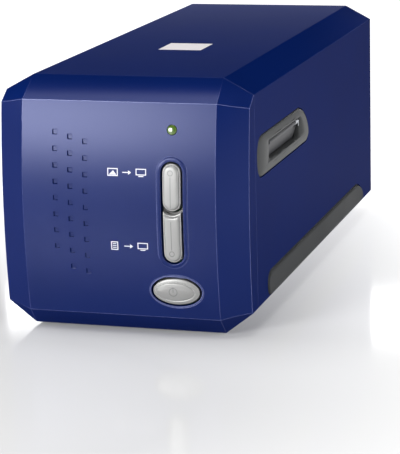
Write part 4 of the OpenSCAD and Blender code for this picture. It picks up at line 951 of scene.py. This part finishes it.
def metal(name, colour, roughness, streaks=(40.0, 2200.0, 2200.0), depth=0.05):
    """A metal surface with fine drawing or turning marks."""
    darkest, gloss_change = 0.82, 0.2
    material, tree, shader = plain_material(name)
    coords = node(tree, "TexCoord", (-1000, 0))
    along = node(tree, "Mapping", (-800, 0), Scale=streaks)
    marks, tone = two_tones(tree, [c * darkest for c in colour], colour, scale=1.0, detail=3.0)
    lift = node(tree, "Bump", (-400, -250), Strength=depth, Distance=0.00003)
    dull = node(tree, "MapRange", (-400, -450), To_Min=roughness * (1 - gloss_change),
                To_Max=roughness * (1 + gloss_change))
    link(tree,
         (coords.outputs["Object"], along.inputs["Vector"]),
         (along.outputs["Vector"], marks.node.inputs["Vector"]),
         (marks, lift.inputs["Height"]),
         (marks, dull.inputs["Value"]),
         (dull.outputs["Result"], shader.inputs["Roughness"]),
         (tone, shader.inputs["Base Color"]),
         (lift.outputs["Normal"], shader.inputs["Normal"]))
    shader.inputs["Metallic"].default_value = 1.0
    return material


def dress(material, *names, edge=0.0):
    """Gives CAD nodes a material, and rounds their edges a little where asked."""
    for name in names:
        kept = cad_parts[name]
        kept.data.materials.clear()
        kept.data.materials.append(material)
        if edge:
            rounding = kept.modifiers.new("edges", "BEVEL")
            rounding.width = edge
            rounding.segments = 2
            rounding.limit_method = "ANGLE"
            rounding.angle_limit = math.radians(50)


bright_steel = metal("bright_steel", (0.62, 0.63, 0.65), 0.25, streaks=(2200.0, 40.0, 2200.0))
spring_wire = metal("spring_wire", (0.30, 0.31, 0.33), 0.30, streaks=(2200.0, 40.0, 2200.0))
dress(flap_plastic, "entry_flap", "exit_flap", edge=0.0002)
dress(bright_steel, "entry_flap_pin", "exit_flap_pin")
dress(spring_wire, "entry_flap_spring", "exit_flap_spring")

# ---- front board ----------------------------------------------------------------------
# A green circuit board behind the keys with three black push switches and a white diode,
# held on posts of the moulding by four steel screws.
track_green = (0.03, 0.21, 0.09)
mask_green = (0.012, 0.12, 0.05)
green_board, tree, shader = plain_material("green_board")
coords = node(tree, "TexCoord", (-1200, 0))
tracks = node(tree, "TexVoronoi", (-900, 0), feature="DISTANCE_TO_EDGE", Scale=260.0)
wide = node(tree, "MapRange", (-700, 0), From_Min=0.05, From_Max=0.09)
solder_mask = node(tree, "Mix", (-400, 0), data_type="RGBA")
solder_mask.inputs[6].default_value = (*track_green, 1)
solder_mask.inputs[7].default_value = (*mask_green, 1)
link(tree,
     (coords.outputs["Object"], tracks.inputs["Vector"]),
     (tracks.outputs["Distance"], wide.inputs["Value"]),
     (wide.outputs["Result"], solder_mask.inputs[0]),
     (solder_mask.outputs[2], shader.inputs["Base Color"]))
shader.inputs["Roughness"].default_value = 0.3
black_plastic = moulded("black_plastic", (0.018, 0.018, 0.020), 0.5, grain_depth=0.2)
diode_plastic = moulded("diode_plastic", (0.85, 0.85, 0.80), 0.2, grain_depth=0.03)
dress(green_board, "front_board", "light_board", "sensor_board", "main_board", edge=0.0001)
dress(black_plastic, "tact_switches", edge=0.00015)
dress(diode_plastic, "status_led", "light_diodes")
dress(bright_steel, "front_board_screws")

# ---- chassis, film gate and detent ----------------------------------------------------
# A zinc-plated pressed steel frame carries the rods and the black film gate, whose cover
# is open over the picture. A brass ball plunger on its spring holds the film holder.
zinc = metal("zinc_plate", (0.50, 0.51, 0.54), 0.38, streaks=(60.0, 60.0, 60.0), depth=0.15)
inner_black = moulded("inner_black", (0.020, 0.020, 0.022), 0.6, grain_size=1800.0, grain_depth=0.3)
turned_brass = metal("turned_brass", (0.72, 0.50, 0.20), 0.28, streaks=(1800.0, 30.0, 1800.0))
dress(zinc, "chassis", edge=0.0002)
dress(inner_black, "film_gate", "gate_cover", edge=0.0002)
dress(turned_brass, "detent_plunger")
dress(bright_steel, "detent_spring")

# ---- light unit -----------------------------------------------------------------------
# A moulded black box over the gate, with rows of white diodes on its board. An opal plate
# below the diodes evens their light.
opal = moulded("opal_plate", (0.86, 0.86, 0.85), 0.45, grain_size=1200.0, grain_depth=0.05)
opal.node_tree.nodes["Principled BSDF"].inputs["Subsurface Weight"].default_value = 0.2
dress(inner_black, "light_housing", edge=0.0002)
dress(opal, "diffuser", edge=0.0002)

# ---- carriage and optics --------------------------------------------------------------
# A black carriage on two ground steel rods in brass bushes: a folding mirror at 45 degrees,
# a black anodised barrel with two coated lenses under a steel clamp, and a line sensor.
barrel_black = metal("barrel_black", (0.035, 0.035, 0.038), 0.35, streaks=(1500.0, 25.0, 1500.0))
mirror_silver = metal("mirror_silver", (0.82, 0.84, 0.86), 0.03, depth=0.0)
glass, tree, shader = plain_material("lens_glass")
glass_tone = two_tones(tree, (0.70, 0.82, 0.90), (0.84, 0.90, 0.92), scale=60.0)[1]
link(tree, (glass_tone, shader.inputs["Base Color"]))
shader.inputs["Roughness"].default_value = 0.03
shader.inputs["Transmission Weight"].default_value = 0.9
dress(inner_black, "scan_carriage", "carriage_lid", edge=0.0002)
dress(bright_steel, "guide_rods", "lens_clamp")
dress(turned_brass, "rod_bushes", "drive_nut")
dress(mirror_silver, "fold_mirror")
dress(barrel_black, "lens_barrel")
dress(glass, "lens_elements")
dress(black_plastic, "line_sensor", edge=0.00015)

# ---- drive ----------------------------------------------------------------------------
# A stepper motor with a brass pinion turns the white acetal gear of a steel lead screw,
# which runs in two brass bearings. A black fork senses the carriage at rest.
acetal = moulded("white_acetal", (0.80, 0.80, 0.77), 0.4, grain_depth=0.08)
motor_steel = metal("motor_steel", (0.42, 0.43, 0.45), 0.4, streaks=(900.0, 30.0, 900.0))
dress(bright_steel, "lead_screw")
dress(acetal, "screw_gear")
dress(turned_brass, "screw_bearings", "motor_pinion")
dress(motor_steel, "stepper_motor", edge=0.0003)
dress(black_plastic, "home_sensor", edge=0.00015)

# ---- main board, sockets and cables ---------------------------------------------------
# The main board lies on posts of the base, with its chips and two sockets that show in
# the rear panel. Flat cables run to the motor, the light, the front and the sensor.
ribbon_plastic = moulded("ribbon_plastic", (0.72, 0.72, 0.68), 0.5, grain_depth=0.05)
dress(black_plastic, "board_chips", "power_socket", edge=0.00015)
dress(bright_steel, "usb_socket")
dress(ribbon_plastic, "sensor_ribbon")
dress(black_plastic, "front_cable", "light_cable", "motor_cable")

# ---- case screws ----------------------------------------------------------------------
# Four cross-head steel screws, sunk in the base from below. They reach into the chassis
# and hold the base to it.
dress(bright_steel, "case_screws")
